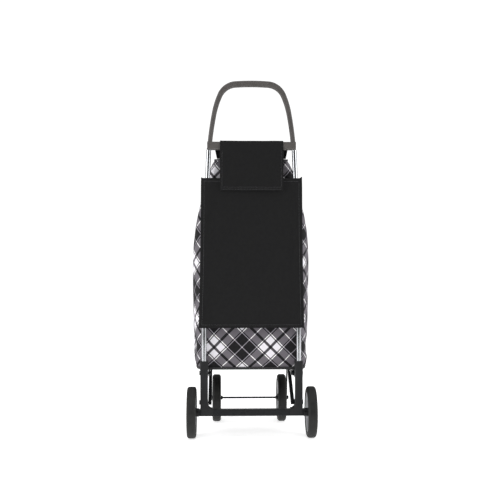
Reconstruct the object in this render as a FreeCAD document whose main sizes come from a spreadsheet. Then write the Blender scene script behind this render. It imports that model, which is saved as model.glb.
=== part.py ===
import FreeCAD, Part
import math
import os

import Sketcher
from FreeCAD import Placement, Rotation, Vector

# Folding four-wheel shopping trolley, in millimetres.
# +X is to the right seen from the handle side, +Y points to the bag's front, +Z is up.
# The origin is on the floor, under the middle of the wheelbase.

SIZES = {
    # wheels and axles
    "wheelbase": 262, "wheel_radius": 76.5, "tyre_width": 27.5, "tyre_depth": 15.5,
    "tyre_shoulder": 8, "tyre_seat_gap": 0.05, "rear_wheel_standoff": 22,
    "front_wheel_standoff": 15, "rim_width": 23, "rim_wall": 4.5, "rim_web": 6,
    "hub_radius": 12.5, "hub_recess": 3, "spoke_hole_radius": 14, "spoke_hole_count": 6,
    "rear_axle_radius": 4, "front_axle_radius": 3, "running_gap": 0.05, "end_gap": 0.4,
    "axle_cap_radius": 9, "axle_cap_length": 5, "axle_cap_socket": 3.5,
    # rear cross bar
    "bar_height": 20, "bar_wall": 1.5, "bar_overhang": 3.7, "plug_length": 12, "plug_gap": 0.1,
    # lower brackets; heights are above the axles
    "upright_centre": 142, "upright_width": 22.6, "upright_depth": 24, "bracket_rise": 153.5,
    "collar_height": 25, "collar_proud": 1.2, "gusset_reach": 15, "gusset_toe": 3, "bracket_edge": 3,
    "bar_gap": 0.1, "bar_cheek_drop": 16,
    # frame tubes
    "tube_radius": 7.2, "tube_wall": 1.2, "tube_foot_rise": 83.5, "tube_bend_rise": 158.5,
    "tube_bow_radius": 14220, "tube_gap": 0.15, "tube_end_gap": 0.5, "spigot_length": 42,
    "spigot_root": 6,
    # handle: cross piece and loop
    "cross_bottom": 863, "cross_height": 24, "cross_depth": 26, "cross_margin": 4.6,
    "cross_edge": 5, "handle_lean": 6, "loop_depth": 22, "loop_edge": 5, "loop_inset": 0.9,
    "loop_rise": 193, "loop_grip": 18.7, "loop_side": 12.4, "loop_outer_corner": 62,
    "loop_inner_corner": 48, "loop_shoulder_radius": 250, "loop_side_radius": 1000,
    "loop_top_angle": 4, "loop_corner_angle": 66, "loop_shoulder_angle": 79, "loop_side_angle": 84.5,
    # folding undercarriage; heights are above the axles, reaches ahead of the rear axle
    "fold_pivot_reach": 33, "fold_pivot_rise": 113.5, "fold_bolt_radius": 4, "fold_lug_radius": 12,
    "arm_gap": 0.9, "arm_thickness": 4.5, "arm_half_height": 9, "leg_rake": 23,
    "leg_thickness": 3.5, "leg_gap": 0.3, "leg_half_width": 9,
    "brace_thickness": 10, "brace_half_width": 7.5, "brace_top_setback": 58, "brace_lap": 14,
    "brace_gap": 0.2, "latch_reach": 21, "latch_rise": 26.5, "latch_pin_radius": 3.5,
    "latch_gap": 0.3, "latch_lug_radius": 9, "latch_pin_setback": 1, "rivet_radius": 2.5,
    "rivet_head_radius": 5, "rivet_head_height": 1.8, "rivet_tail_height": 0.9,
    "bolt_head_radius": 7, "bolt_head_height": 4, "nut_height": 3.8,
    "tray_rod_radius": 4, "tray_front_setback": 22, "tray_rear_setback": 100,
    "front_nut_radius": 6, "front_nut_height": 5, "nut_wall": 2, "spacer_radius": 6.5,
    "spacer_length": 5,
    # bag; levels are measured down from the cross piece
    "bag_gap": 0.4, "bag_depth": 266.6, "bag_floor_gap": 1, "bag_wall": 3, "bag_side_overhang": 30,
    "bag_corner": 24, "bag_foot_height": 36, "bag_foot_inset": 11, "bag_shoulder_drop": 223,
    "bag_neck_drop": 118, "bag_neck_overhang": 11, "bag_yoke_drop": 63, "bag_yoke_inset": 8,
    "bag_yoke_setback": 10, "bag_rim_drop": 28, "bag_rim_inset": 30, "bag_rim_setback": 24,
    "board_thickness": 3, "board_lift": 0.3, "board_margin": 12, "board_lug_gap": 2,
    # lid and its buckle
    "lid_thickness": 4, "lid_gap": 0.5, "lid_overhang": 6, "lid_hinge_inset": 10.6, "lid_drop": 150,
    "strap_width": 25, "strap_thickness": 1.6, "strap_gap": 0.3, "lid_strap_length": 46,
    "bag_strap_length": 80, "buckle_width": 34, "buckle_thickness": 9, "plug_height": 24,
    "socket_height": 34,
    # rear panel, hanging band and carry flap
    "panel_gap": 0.5, "panel_thickness": 3, "panel_drop": 85, "panel_height": 448,
    "panel_foot_margin": 15.5, "panel_top_margin": 9, "band_margin": 20.6, "band_taper": 8,
    "band_drop": 25, "band_overlap": 14, "band_thickness": 2.5, "band_gap": 0.4,
    "flap_inset": 47.5, "flap_length": 138, "flap_thickness": 2.5, "flap_gap": 0.4,
    "flap_hinge_drop": 7, "flap_front_drop": 6,
}

doc = FreeCAD.newDocument("ShoppingTrolley")
sheet = doc.addObject("Spreadsheet::Sheet", "Sizes")
for row, (alias, value) in enumerate(SIZES.items(), start=1):
    sheet.set(f"A{row}", alias)
    sheet.set(f"B{row}", str(value))
    sheet.setAlias(f"B{row}", alias)
doc.recompute()

SUBPARTS = []          # the labelled objects that are written out, in order
SIDES = {"left": -1, "right": 1}


def named(expression):
    """Spell out the sheet's name before each alias in a formula."""
    words = []
    word = ""
    for letter in expression + " ":
        if letter.isalnum() or letter == "_":
            word += letter
            continue
        words.append(f"Sizes.{word}" if word in SIZES else word)
        words.append(letter)
        word = ""
    return "".join(words).strip()


def value_of(expression):
    """The number that a formula of the sheet's sizes gives."""
    return float(sheet.evalExpression(named(expression)))


def bind(obj, **formulas):
    """Tie properties to formulas; two underscores stand for a dot in a property's path."""
    for path, formula in formulas.items():
        obj.setExpression(path.replace("__", "."), named(formula))
    return obj


def subpart(obj, label):
    """Label an object as one finished piece of the trolley."""
    obj.Label = label
    SUBPARTS.append(obj)
    return obj


# ---------------------------------------------------------------- sketches and solids

def body_named(name):
    return doc.addObject("PartDesign::Body", name)


def new_sketch(body, plane, offset="0", lift="0", lean="0"):
    """A sketch on one of the body's planes, moved by offset along the plane's normal."""
    sketch = body.newObject("Sketcher::SketchObject", body.Name + "_sketch")
    support = [f for f in body.Origin.OriginFeatures if f.Role == plane + "_Plane"][0]
    sketch.AttachmentSupport = (support, "")
    sketch.MapMode = "FlatFace"
    sketch.AttachmentOffset = Placement(Vector(0, 0, 0), Rotation(Vector(1, 0, 0), 1))
    bind(sketch, AttachmentOffset__Base__z=offset, AttachmentOffset__Base__y=lift,
         AttachmentOffset__Rotation__Angle=lean)
    return sketch


def place_point(sketch, geometry, end, x, y):
    """Hold one point of a sketch at formulas for its two coordinates."""
    for kind, formula in (("DistanceX", x), ("DistanceY", y)):
        datum = value_of(formula)
        index = sketch.addConstraint(Sketcher.Constraint(kind, -1, 1, geometry, end, datum))
        sketch.setExpression(f"Constraints[{index}]", named(formula))


def arc_through(start, end, radius, turn):
    """The short arc from start to end; turn is +1 counter-clockwise or -1 clockwise."""
    chord = end - start
    rise = math.sqrt(max(radius ** 2 - (chord.Length / 2) ** 2, 0))
    normal = Vector(-chord.y, chord.x, 0).normalize()
    centre = (start + end) / 2 + normal * rise * turn
    middle = centre - normal * radius * turn
    return Part.Arc(start, middle, end)


def outline(sketch, points):
    """A closed outline; a point is (x, y), or (x, y, radius, turn) where an arc leaves it."""
    spots = [Vector(value_of(p[0]), value_of(p[1]), 0) for p in points]
    first = sketch.GeometryCount
    count = len(points)
    starts = []
    for i, point in enumerate(points):
        start, end = spots[i], spots[(i + 1) % count]
        if len(point) == 2:
            sketch.addGeometry(Part.LineSegment(start, end))
            starts.append((1, 2))
            continue
        sketch.addGeometry(arc_through(start, end, value_of(point[2]), point[3]))
        starts.append((1, 2) if point[3] > 0 else (2, 1))
    for i in range(count):
        following = (i + 1) % count
        sketch.addConstraint(Sketcher.Constraint("Coincident", first + i, starts[i][1],
                                                 first + following, starts[following][0]))
    for i, point in enumerate(points):
        place_point(sketch, first + i, starts[i][0], point[0], point[1])
        if len(point) == 4:
            index = sketch.addConstraint(Sketcher.Constraint("Radius", first + i, value_of(point[2])))
            sketch.setExpression(f"Constraints[{index}]", named(point[2]))
    return sketch


def rectangle(sketch, x_low, x_high, y_low, y_high):
    return outline(sketch, [(x_low, y_low), (x_high, y_low), (x_high, y_high), (x_low, y_high)])


def circle(sketch, x, y, radius):
    centre = Vector(value_of(x), value_of(y), 0)
    index = sketch.addGeometry(Part.Circle(centre, Vector(0, 0, 1), value_of(radius)))
    place_point(sketch, index, 3, x, y)
    constraint = sketch.addConstraint(Sketcher.Constraint("Radius", index, value_of(radius)))
    sketch.setExpression(f"Constraints[{constraint}]", named(radius))
    return sketch


def stadium(sketch, start, end, radius):
    """A bar with round ends: two half circles about start and end, joined by tangents."""
    first = sketch.GeometryCount
    near = Vector(value_of(start[0]), value_of(start[1]), 0)
    far = Vector(value_of(end[0]), value_of(end[1]), 0)
    along = (far - near).normalize() * value_of(radius)
    across = Vector(along.y, -along.x, 0)
    sketch.addGeometry(Part.LineSegment(near + across, far + across))
    sketch.addGeometry(Part.Arc(far + across, far + along, far - across))
    sketch.addGeometry(Part.LineSegment(far - across, near - across))
    sketch.addGeometry(Part.Arc(near - across, near - along, near + across))
    for i in range(4):
        sketch.addConstraint(Sketcher.Constraint("Tangent", first + i, 2, first + (i + 1) % 4, 1))
    place_point(sketch, first + 1, 3, end[0], end[1])
    place_point(sketch, first + 3, 3, start[0], start[1])
    sketch.addConstraint(Sketcher.Constraint("Equal", first + 1, first + 3))
    index = sketch.addConstraint(Sketcher.Constraint("Radius", first + 1, value_of(radius)))
    sketch.setExpression(f"Constraints[{index}]", named(radius))
    return sketch


def pad(body, sketch, length, kind="PartDesign::Pad", both_ways=True, reverse=False):
    feature = body.newObject(kind, body.Name + "_" + kind.split("::")[1])
    feature.Profile = sketch
    if both_ways:
        feature.SideType = "Symmetric"
    feature.Reversed = reverse
    bind(feature, Length=length)
    body.Tip = feature
    doc.recompute()
    return feature


def pocket(body, sketch, length):
    return pad(body, sketch, length, kind="PartDesign::Pocket")


def revolve(body, sketch, axis="X_Axis"):
    feature = body.newObject("PartDesign::Revolution", body.Name + "_turned")
    feature.Profile = sketch
    line = [f for f in body.Origin.OriginFeatures if f.Role == axis][0]
    feature.ReferenceAxis = (line, [""])
    feature.Angle = 360
    body.Tip = feature
    doc.recompute()
    return feature


def fillet(body, base, radius, wanted):
    """Round the edges of the base feature that the test accepts."""
    names = [f"Edge{i}" for i, edge in enumerate(base.Shape.Edges, start=1) if wanted(edge)]
    feature = body.newObject("PartDesign::Fillet", body.Name + "_rounded")
    feature.Base = (base, names)
    bind(feature, Radius=radius)
    body.Tip = feature
    doc.recompute()
    return feature


def box(name, x, y, z, x_size, y_size, z_size):
    shape = doc.addObject("Part::Box", name)
    return bind(shape, Length=x_size, Width=y_size, Height=z_size, Placement__Base__x=x,
                Placement__Base__y=y, Placement__Base__z=z)


def rod(name, radius, x, length, y, z):
    """A round bar along X that starts at x."""
    shape = doc.addObject("Part::Cylinder", name)
    shape.Placement = Placement(Vector(0, 0, 0), Rotation(Vector(0, 1, 0), 90))
    return bind(shape, Radius=radius, Height=length, Placement__Base__x=x, Placement__Base__y=y,
                Placement__Base__z=z)


def side_rod(name, side, radius, near, far, y, z):
    """A round bar along X on one side, from near to far, both measured from the middle."""
    start = near if side > 0 else f"-({far})"
    return rod(name, radius, start, f"({far}) - ({near})", y, z)


def post(name, radius, x, y, low, high):
    """A round bar along Z between two heights."""
    shape = doc.addObject("Part::Cylinder", name)
    return bind(shape, Radius=radius, Height=f"({high}) - ({low})", Placement__Base__x=x,
                Placement__Base__y=y, Placement__Base__z=low)


def cut(name, base, tool):
    shape = doc.addObject("Part::Cut", name)
    shape.Base = base
    shape.Tool = tool
    return shape


def fuse(name, pieces):
    shape = doc.addObject("Part::MultiFuse", name)
    shape.Shapes = pieces
    return shape


def group(name, pieces):
    shape = doc.addObject("Part::Compound", name)
    shape.Links = pieces
    return shape


# Places that several pieces share
TYRE_BORE = "(wheel_radius - tyre_depth)"
BAG_HALF = "(upright_centre + bag_side_overhang)"
RIM_HALF = "(upright_centre - bag_rim_inset)"
FLAP_HALF = "(upright_centre - flap_inset)"
REAR_Y = "(-wheelbase / 2)"
FRONT_Y = "(wheelbase / 2)"
BRACKET_INNER = "(upright_centre - upright_width / 2)"
BRACKET_OUTER = "(upright_centre + upright_width / 2)"
BRACKET_TOP = "(wheel_radius + bracket_rise)"
BAR_HALF = f"({BRACKET_OUTER} + bar_overhang)"
REAR_WHEEL_X = f"({BAR_HALF} + rear_wheel_standoff)"
ARM_OUTER = f"({BRACKET_INNER} - arm_gap)"
ARM_INNER = f"({ARM_OUTER} - arm_thickness)"
LEG_OUTER = f"({ARM_INNER} - leg_gap)"
LEG_INNER = f"({LEG_OUTER} - leg_thickness)"
FRONT_WHEEL_X = f"({LEG_INNER} - front_wheel_standoff)"
BRACE_INNER = f"({ARM_OUTER} - brace_thickness)"
PIVOT = (f"({REAR_Y} + fold_pivot_reach)", "(wheel_radius + fold_pivot_rise)")
LATCH = (f"({REAR_Y} + latch_reach)", "(wheel_radius + latch_rise)")
AXLE_CENTRE = (FRONT_Y, "wheel_radius")
ARM_CORNER = (f"({FRONT_Y} - leg_rake)", PIVOT[1])
BRACE_TOP = (f"({ARM_CORNER[0]} - brace_top_setback)", PIVOT[1])
CROSS_TOP = "(cross_bottom + cross_height)"
CROSS_MIDDLE = "(cross_bottom + cross_height / 2)"
CROSS_REAR = f"({REAR_Y} - cross_depth / 2)"
CROSS_FRONT = f"({REAR_Y} + cross_depth / 2)"
TUBE_BEND = "(wheel_radius + tube_bend_rise)"
TUBE_FALL = f"(tube_bow_radius - sqrt(tube_bow_radius^2 - (cross_bottom - {TUBE_BEND})^2))"
CROSS_HALF = f"(upright_centre - {TUBE_FALL} + cross_margin)"


# ---------------------------------------------------------------- frame tubes

def tube_fall(height):
    """How far inwards the tube has bowed at a height above its bend."""
    return f"(tube_bow_radius - sqrt(tube_bow_radius^2 - ({height} - {TUBE_BEND})^2))"


def along_tube(name, side, radius, low, high, bore=None):
    """A round section swept up the tube's line: upright in its bracket, then one large arc."""
    body = body_named(name)
    foot_x = f"({side} * upright_centre)"
    straight = value_of(low) < value_of(TUBE_BEND)
    bend = (foot_x, TUBE_BEND) if straight else (f"{foot_x} - {side} * {tube_fall(low)}", low)
    top = (f"{foot_x} - {side} * {tube_fall(high)}", high)
    corners = [(foot_x, low), bend, top] if straight else [bend, top]
    spots = [Vector(value_of(x), value_of(z), 0) for x, z in corners]
    spine = new_sketch(body, "XZ", offset=f"-{REAR_Y}")
    if straight:
        spine.addGeometry(Part.LineSegment(spots[0], spots[1]))
        place_point(spine, 0, 1, *corners[0])
        place_point(spine, 0, 2, *corners[1])
    arc = spine.addGeometry(arc_through(spots[-2], spots[-1], value_of("tube_bow_radius"), side))
    low_end, high_end = (1, 2) if side > 0 else (2, 1)
    if straight:
        spine.addConstraint(Sketcher.Constraint("Coincident", 0, 2, arc, low_end))
    else:
        place_point(spine, arc, low_end, *corners[0])
    place_point(spine, arc, high_end, *top)
    index = spine.addConstraint(Sketcher.Constraint("Radius", arc, value_of("tube_bow_radius")))
    spine.setExpression(f"Constraints[{index}]", named("tube_bow_radius"))
    section = circle(new_sketch(body, "XY", offset=low), corners[0][0], REAR_Y, radius)
    if bore:
        circle(section, corners[0][0], REAR_Y, bore)
    pipe = body.newObject("PartDesign::AdditivePipe", name + "_pipe")
    pipe.Profile = section
    pipe.Spine = (spine, [f"Edge{i + 1}" for i in range(len(corners) - 1)])
    body.Tip = pipe
    doc.recompute()
    return body


TUBE_FOOT = "(wheel_radius + tube_foot_rise)"
spigots = []
for side_name, side in SIDES.items():
    tube = along_tube(f"{side_name}_tube", side, "tube_radius", TUBE_FOOT,
                      "cross_bottom - tube_end_gap", bore="tube_radius - tube_wall")
    subpart(tube, f"{side_name}_frame_tube")
    spigots.append(along_tube(f"{side_name}_spigot", side, "tube_radius - tube_wall - tube_gap",
                              "cross_bottom - spigot_length", "cross_bottom + spigot_root"))


# ---------------------------------------------------------------- handle

def turned(radius, start, end, ratio):
    """How far an arc of this radius goes, across or down, between two angles from level."""
    return f"{radius} * abs({ratio}({end} * 1deg) - {ratio}({start} * 1deg))"


def loop_chain(rise, corner_radius, reach):
    """Points of the loop's right half from the top middle down, and the radius that leaves each."""
    angles = ["0", "loop_top_angle", "loop_corner_angle", "loop_shoulder_angle", "loop_side_angle"]
    radii = [corner_radius, "loop_shoulder_radius", "loop_side_radius"]
    rest = " - ".join(turned(radius, start, end, "sin")
                      for radius, start, end in zip(radii, angles[1:], angles[2:]))
    radii.insert(0, f"(({reach} - {rest}) / sin(loop_top_angle * 1deg))")
    chain = [("0", rise)]
    for radius, start, end in zip(radii, angles, angles[1:]):
        x, y = chain[-1]
        chain.append((f"{x} + {turned(radius, start, end, 'sin')}",
                      f"{y} - {turned(radius, start, end, 'cos')}"))
    return chain, radii


def handle_loop():
    """The moulded grip: an arch that narrows to the sides and leans back from the cross piece."""
    body = body_named("handle_loop")
    sketch = new_sketch(body, "XZ", offset=f"-{REAR_Y}", lift=CROSS_MIDDLE, lean="handle_lean")
    reach = f"({CROSS_HALF} - loop_inset)"
    outer, outer_radii = loop_chain("loop_rise", "loop_outer_corner", reach)
    inner, inner_radii = loop_chain("loop_rise - loop_grip", "loop_inner_corner",
                                    f"({reach} - loop_side)")
    foot = "0"
    points = []
    # up the left outside, over the top, down the right outside
    points.append((f"-({outer[4][0]})", foot))
    for i in range(4, 0, -1):
        points.append((f"-({outer[i][0]})", outer[i][1], outer_radii[i - 1], -1))
    for i in range(0, 4):
        points.append((outer[i][0], outer[i][1], outer_radii[i], -1))
    points.append(outer[4])
    points.append((outer[4][0], foot))
    # up the right inside, under the grip, down the left inside
    points.append((inner[4][0], foot))
    for i in range(4, 0, -1):
        points.append((inner[i][0], inner[i][1], inner_radii[i - 1], 1))
    for i in range(0, 4):
        points.append((f"-({inner[i][0]})", inner[i][1], inner_radii[i], 1))
    points.append((f"-({inner[4][0]})", inner[4][1]))
    points.append((f"-({inner[4][0]})", foot))
    outline(sketch, points)
    shape = pad(body, sketch, "loop_depth")
    half = value_of("loop_depth") / 2
    lean = math.radians(value_of("handle_lean"))
    back = Vector(0, -math.cos(lean), -math.sin(lean))
    origin = Vector(0, value_of(REAR_Y), value_of(CROSS_MIDDLE))

    def on_face(edge):
        depths = [(vertex.Point - origin).dot(back) for vertex in edge.Vertexes]
        curved = edge.Curve.TypeId == "Part::GeomCircle"
        return curved and all(abs(abs(depth) - half) < 0.01 for depth in depths)

    fillet(body, shape, "loop_edge", on_face)
    return body


def handle_cross():
    """The cross piece that the bag and the flap hang from."""
    body = body_named("handle_cross")
    sketch = new_sketch(body, "XZ", offset=f"-{REAR_Y}")
    rectangle(sketch, f"-{CROSS_HALF}", CROSS_HALF, "cross_bottom", CROSS_TOP)
    shape = pad(body, sketch, "cross_depth")
    fillet(body, shape, "cross_edge", lambda edge: edge.Length > value_of(CROSS_HALF))
    return body


subpart(fuse("handle_moulding", [handle_cross(), handle_loop()] + spigots), "handle")


# ---------------------------------------------------------------- rear cross bar and axle

def cross_bar():
    body = body_named("rear_bar")
    sketch = new_sketch(body, "YZ")
    for half in ("bar_height / 2", "bar_height / 2 - bar_wall"):
        rectangle(sketch, f"{REAR_Y} - ({half})", f"{REAR_Y} + {half}",
                  f"wheel_radius - ({half})", f"wheel_radius + {half}")
    shape = pad(body, sketch, f"2 * {BAR_HALF}")
    outer_corner = value_of("bar_height") / 2

    def outer_edge(edge):
        point = edge.Vertexes[0].Point
        long_edge = edge.Length > value_of(BAR_HALF)
        return long_edge and abs(abs(point.z - value_of("wheel_radius")) - outer_corner) < 0.01

    fillet(body, shape, "bar_wall", outer_edge)
    return body


subpart(cross_bar(), "rear_crossbar")

plugs = []
for side_name, side in SIDES.items():
    half = "(bar_height / 2 - bar_wall - plug_gap)"
    start = f"{BAR_HALF} - plug_length" if side > 0 else f"-{BAR_HALF}"
    block = box(f"{side_name}_plug_block", start, f"{REAR_Y} - {half}", f"wheel_radius - {half}",
                "plug_length", f"2 * {half}", f"2 * {half}")
    bore = side_rod(f"{side_name}_plug_bore", side, "rear_axle_radius + running_gap",
                    f"{BAR_HALF} - 2 * plug_length", f"{BAR_HALF} + plug_length",
                    REAR_Y, "wheel_radius")
    plugs.append(cut(f"{side_name}_plug", block, bore))
subpart(group("plug_pair", plugs), "crossbar_end_plugs")

REAR_HUB_OUTER = f"({REAR_WHEEL_X} + rim_width / 2 - hub_recess)"
AXLE_END = f"({REAR_HUB_OUTER} + end_gap + axle_cap_socket)"
axle = rod("rear_axle_rod", "rear_axle_radius", f"-{AXLE_END}", f"2 * {AXLE_END}", REAR_Y,
           "wheel_radius")
subpart(axle, "rear_axle")

caps = []
for side_name, side in SIDES.items():
    dome = side_rod(f"{side_name}_cap_disc", side, "axle_cap_radius",
                    f"{REAR_HUB_OUTER} + end_gap", f"{REAR_HUB_OUTER} + end_gap + axle_cap_length",
                    REAR_Y, "wheel_radius")
    bore = side_rod(f"{side_name}_cap_bore", side, "rear_axle_radius + running_gap",
                    f"{REAR_HUB_OUTER}", f"{AXLE_END} + running_gap", REAR_Y, "wheel_radius")
    caps.append(cut(f"{side_name}_cap", dome, bore))
subpart(group("cap_pair", caps), "rear_axle_caps")


# ---------------------------------------------------------------- lower brackets

def bracket(side_name, side):
    """Upright socket for a tube, with a foot over the cross bar and two lugs for the fold."""
    body = body_named(f"{side_name}_bracket")
    inner = f"({side} * {BRACKET_INNER})"
    outer = f"({side} * {BRACKET_OUTER})"
    toe = f"({side} * ({BRACKET_INNER} - gusset_reach))"
    foot = "(wheel_radius + bar_height / 2 - bar_cheek_drop)"
    bar_top = "(wheel_radius + bar_height / 2)"
    sketch = new_sketch(body, "XZ", offset=f"-{REAR_Y}")
    outline(sketch, [(outer, foot), (outer, BRACKET_TOP), (inner, BRACKET_TOP),
                     (inner, f"{bar_top} + gusset_toe + gusset_reach", "gusset_reach", -side),
                     (toe, f"{bar_top} + gusset_toe"), (toe, foot)])
    shape = pad(body, sketch, "upright_depth")

    def upright_edge(edge):
        line = edge.Vertexes[-1].Point - edge.Vertexes[0].Point
        return abs(line.z) > value_of("bracket_rise") / 2

    fillet(body, shape, "bracket_edge", upright_edge)
    collar = new_sketch(body, "XY", offset=f"{BRACKET_TOP} - collar_height")
    half = "(upright_width / 2 + collar_proud)"
    low_y, high_y = f"({REAR_Y} - upright_depth / 2 - collar_proud)", f"({REAR_Y} + upright_depth / 2)"
    low_x, high_x = f"({side} * upright_centre - {half})", f"({side} * upright_centre + {half})"
    outline(collar, [
        (f"{low_x} + bracket_edge", low_y), (f"{high_x} - bracket_edge", low_y),
        (high_x, f"{low_y} + bracket_edge"), (high_x, high_y), (low_x, high_y),
        (low_x, f"{low_y} + bracket_edge")])
    pad(body, collar, "collar_height", both_ways=False)
    for (reach, height), radius in ((PIVOT, "fold_lug_radius"), (LATCH, "latch_lug_radius")):
        lug = new_sketch(body, "YZ", offset=f"{side} * upright_centre")
        stadium(lug, (REAR_Y, height), (reach, height), radius)
        pad(body, lug, "upright_width")
    slot = new_sketch(body, "YZ", offset=f"{side} * upright_centre")
    rectangle(slot, f"{REAR_Y} - bar_height / 2 - bar_gap", f"{REAR_Y} + bar_height / 2 + bar_gap",
              f"{foot} - bar_height", f"{bar_top} + bar_gap")
    pocket(body, slot, "4 * upright_width")
    return body


for side_name, side in SIDES.items():
    blank = bracket(side_name, side)
    bolt_bore = side_rod(f"{side_name}_pivot_bore", side, "fold_bolt_radius + running_gap",
                         f"{BRACKET_INNER} - upright_width", f"{BRACKET_OUTER} + upright_width",
                         *PIVOT)
    pin_bore = side_rod(f"{side_name}_latch_bore", side, "latch_pin_radius + running_gap",
                        f"{BRACKET_INNER} - upright_width", f"{BRACKET_OUTER} + upright_width",
                        *LATCH)
    socket = post(f"{side_name}_socket", "tube_radius + tube_gap", f"{side} * upright_centre",
                  REAR_Y, f"{TUBE_FOOT} - tube_end_gap", f"{BRACKET_TOP} + collar_height")
    bores = group(f"{side_name}_bracket_bores", [bolt_bore, pin_bore, socket])
    subpart(cut(f"{side_name}_bracket_cut", blank, bores), f"{side_name}_lower_bracket")


def pin(name, side, radius, inner_end, head_radius, head_height, y, z, nut=None):
    """A pin through the bracket with its head on the outside, and a nut inside if it has one."""
    parts = [
        side_rod(f"{name}_shank", side, radius, inner_end,
                 f"{BRACKET_OUTER} + {head_height} / 2", y, z),
        side_rod(f"{name}_head", side, head_radius, BRACKET_OUTER,
                 f"{BRACKET_OUTER} + {head_height}", y, z)]
    if nut:
        parts.append(side_rod(f"{name}_nut", side, head_radius, inner_end, nut, y, z))
    return fuse(name, parts)


pivot_bolts = []
latch_pins = []
for side_name, side in SIDES.items():
    pivot_bolts.append(pin(f"{side_name}_pivot_bolt", side, "fold_bolt_radius",
                           f"{ARM_INNER} - end_gap - nut_height", "bolt_head_radius",
                           "bolt_head_height", *PIVOT,
                           nut=f"{ARM_INNER} - end_gap"))
    latch_pins.append(pin(f"{side_name}_latch_pin", side, "latch_pin_radius",
                          f"{BRACE_INNER} + latch_pin_setback", "bolt_head_radius",
                          "bolt_head_height", *LATCH))
subpart(group("pivot_bolt_pair", pivot_bolts), "fold_pivot_bolts")
subpart(group("latch_pin_pair", latch_pins), "latch_pins")


# ---------------------------------------------------------------- folding undercarriage

def bar_with_bores(name, side, near, far, start, end, radius, bores):
    """A flat bar with round ends that lies across X, with a bore at each listed place."""
    body = body_named(name)
    sketch = new_sketch(body, "YZ", offset=f"{side} * ({near} + {far}) / 2")
    stadium(sketch, start, end, radius)
    for (y, z), bore in bores:
        circle(sketch, y, z, bore)
    pad(body, sketch, f"{far} - {near}")
    return body


RIVET_BORE = "rivet_radius + running_gap"

for side_name, side in SIDES.items():
    arm = bar_with_bores(f"{side_name}_arm", side, ARM_INNER, ARM_OUTER, PIVOT, ARM_CORNER,
                         "arm_half_height", [(PIVOT, "fold_bolt_radius + running_gap"),
                                             (ARM_CORNER, RIVET_BORE), (BRACE_TOP, RIVET_BORE)])
    subpart(arm, f"{side_name}_tray_arm")
    leg = bar_with_bores(f"{side_name}_leg", side, LEG_INNER, LEG_OUTER, AXLE_CENTRE, ARM_CORNER,
                         "leg_half_width", [(AXLE_CENTRE, "front_axle_radius + running_gap"),
                                            (ARM_CORNER, RIVET_BORE)])
    subpart(leg, f"{side_name}_front_leg")


def brace(side_name, side):
    """Diagonal stay: half lapped to the arm at the top, hooked over the latch pin at the foot."""
    body = body_named(f"{side_name}_stay")
    sketch = new_sketch(body, "YZ", offset=f"{side} * ({BRACE_INNER} + {ARM_OUTER}) / 2")
    stadium(sketch, LATCH, BRACE_TOP, "brace_half_width")
    circle(sketch, BRACE_TOP[0], BRACE_TOP[1], RIVET_BORE)
    pad(body, sketch, "brace_thickness")
    # the outer half is cut away where the arm lies beside it
    lap = new_sketch(body, "YZ", offset=f"{side} * ({ARM_INNER} - brace_gap + brace_thickness / 2)")
    rectangle(lap, LATCH[0], ARM_CORNER[0], f"{PIVOT[1]} - brace_lap", f"{PIVOT[1]} + brace_lap")
    pocket(body, lap, "brace_thickness")
    # the mouth opens to the rear, so the stay swings forwards off the pin
    mouth = new_sketch(body, "YZ", offset=f"{side} * ({BRACE_INNER} + {ARM_OUTER}) / 2")
    reach = "(latch_pin_radius + latch_gap)"
    rise = "(fold_pivot_rise - latch_rise)"
    back = "(fold_pivot_reach - latch_reach)"
    length = f"sqrt({rise}^2 + {back}^2)"
    # unit vector that a point at the pin leaves along when the undercarriage starts to fold
    along = (f"({rise} / {length})", f"(-{back} / {length})")
    across = (f"({back} / {length})", f"({rise} / {length})")
    far = "(3 * brace_half_width)"
    corners = []
    for sign, reach_back in ((1, "0"), (1, far), (-1, far), (-1, "0")):
        corners.append((f"{LATCH[0]} + {sign} * {reach} * {across[0]} - {reach_back} * {along[0]}",
                        f"{LATCH[1]} + {sign} * {reach} * {across[1]} - {reach_back} * {along[1]}"))
    outline(mouth, corners)
    pocket(body, mouth, "2 * brace_thickness")
    seat = new_sketch(body, "YZ", offset=f"{side} * ({BRACE_INNER} + {ARM_OUTER}) / 2")
    circle(seat, *LATCH, reach)
    pocket(body, seat, "2 * brace_thickness")
    return body


rivets = []
for side_name, side in SIDES.items():
    subpart(brace(side_name, side), f"{side_name}_brace")
    for place, (y, z), inner in (("corner", ARM_CORNER, LEG_INNER), ("stay", BRACE_TOP, BRACE_INNER)):
        name = f"{side_name}_{place}_rivet"
        rivets.append(fuse(name, [
            side_rod(f"{name}_shank", side, "rivet_radius", inner, ARM_OUTER, y, z),
            side_rod(f"{name}_foot", side, "rivet_head_radius", f"{inner} - rivet_head_height",
                     inner, y, z),
            side_rod(f"{name}_head", side, "rivet_head_radius", ARM_OUTER,
                     f"{ARM_OUTER} + rivet_tail_height", y, z)]))
subpart(group("rivet_set", rivets), "undercarriage_rivets")

for label, setback in (("tray_front_rod", "tray_front_setback"),
                       ("tray_rear_rod", "tray_rear_setback")):
    subpart(rod(label + "_bar", "tray_rod_radius", f"-{ARM_INNER}", f"2 * {ARM_INNER}",
                f"{ARM_CORNER[0]} - {setback}", f"{PIVOT[1]} + arm_half_height - tray_rod_radius"),
            label)

FRONT_AXLE_HALF = f"({LEG_OUTER} + front_nut_height - nut_wall)"
subpart(rod("front_axle_rod", "front_axle_radius", f"-{FRONT_AXLE_HALF}", f"2 * {FRONT_AXLE_HALF}",
            *AXLE_CENTRE), "front_axle")

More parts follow.
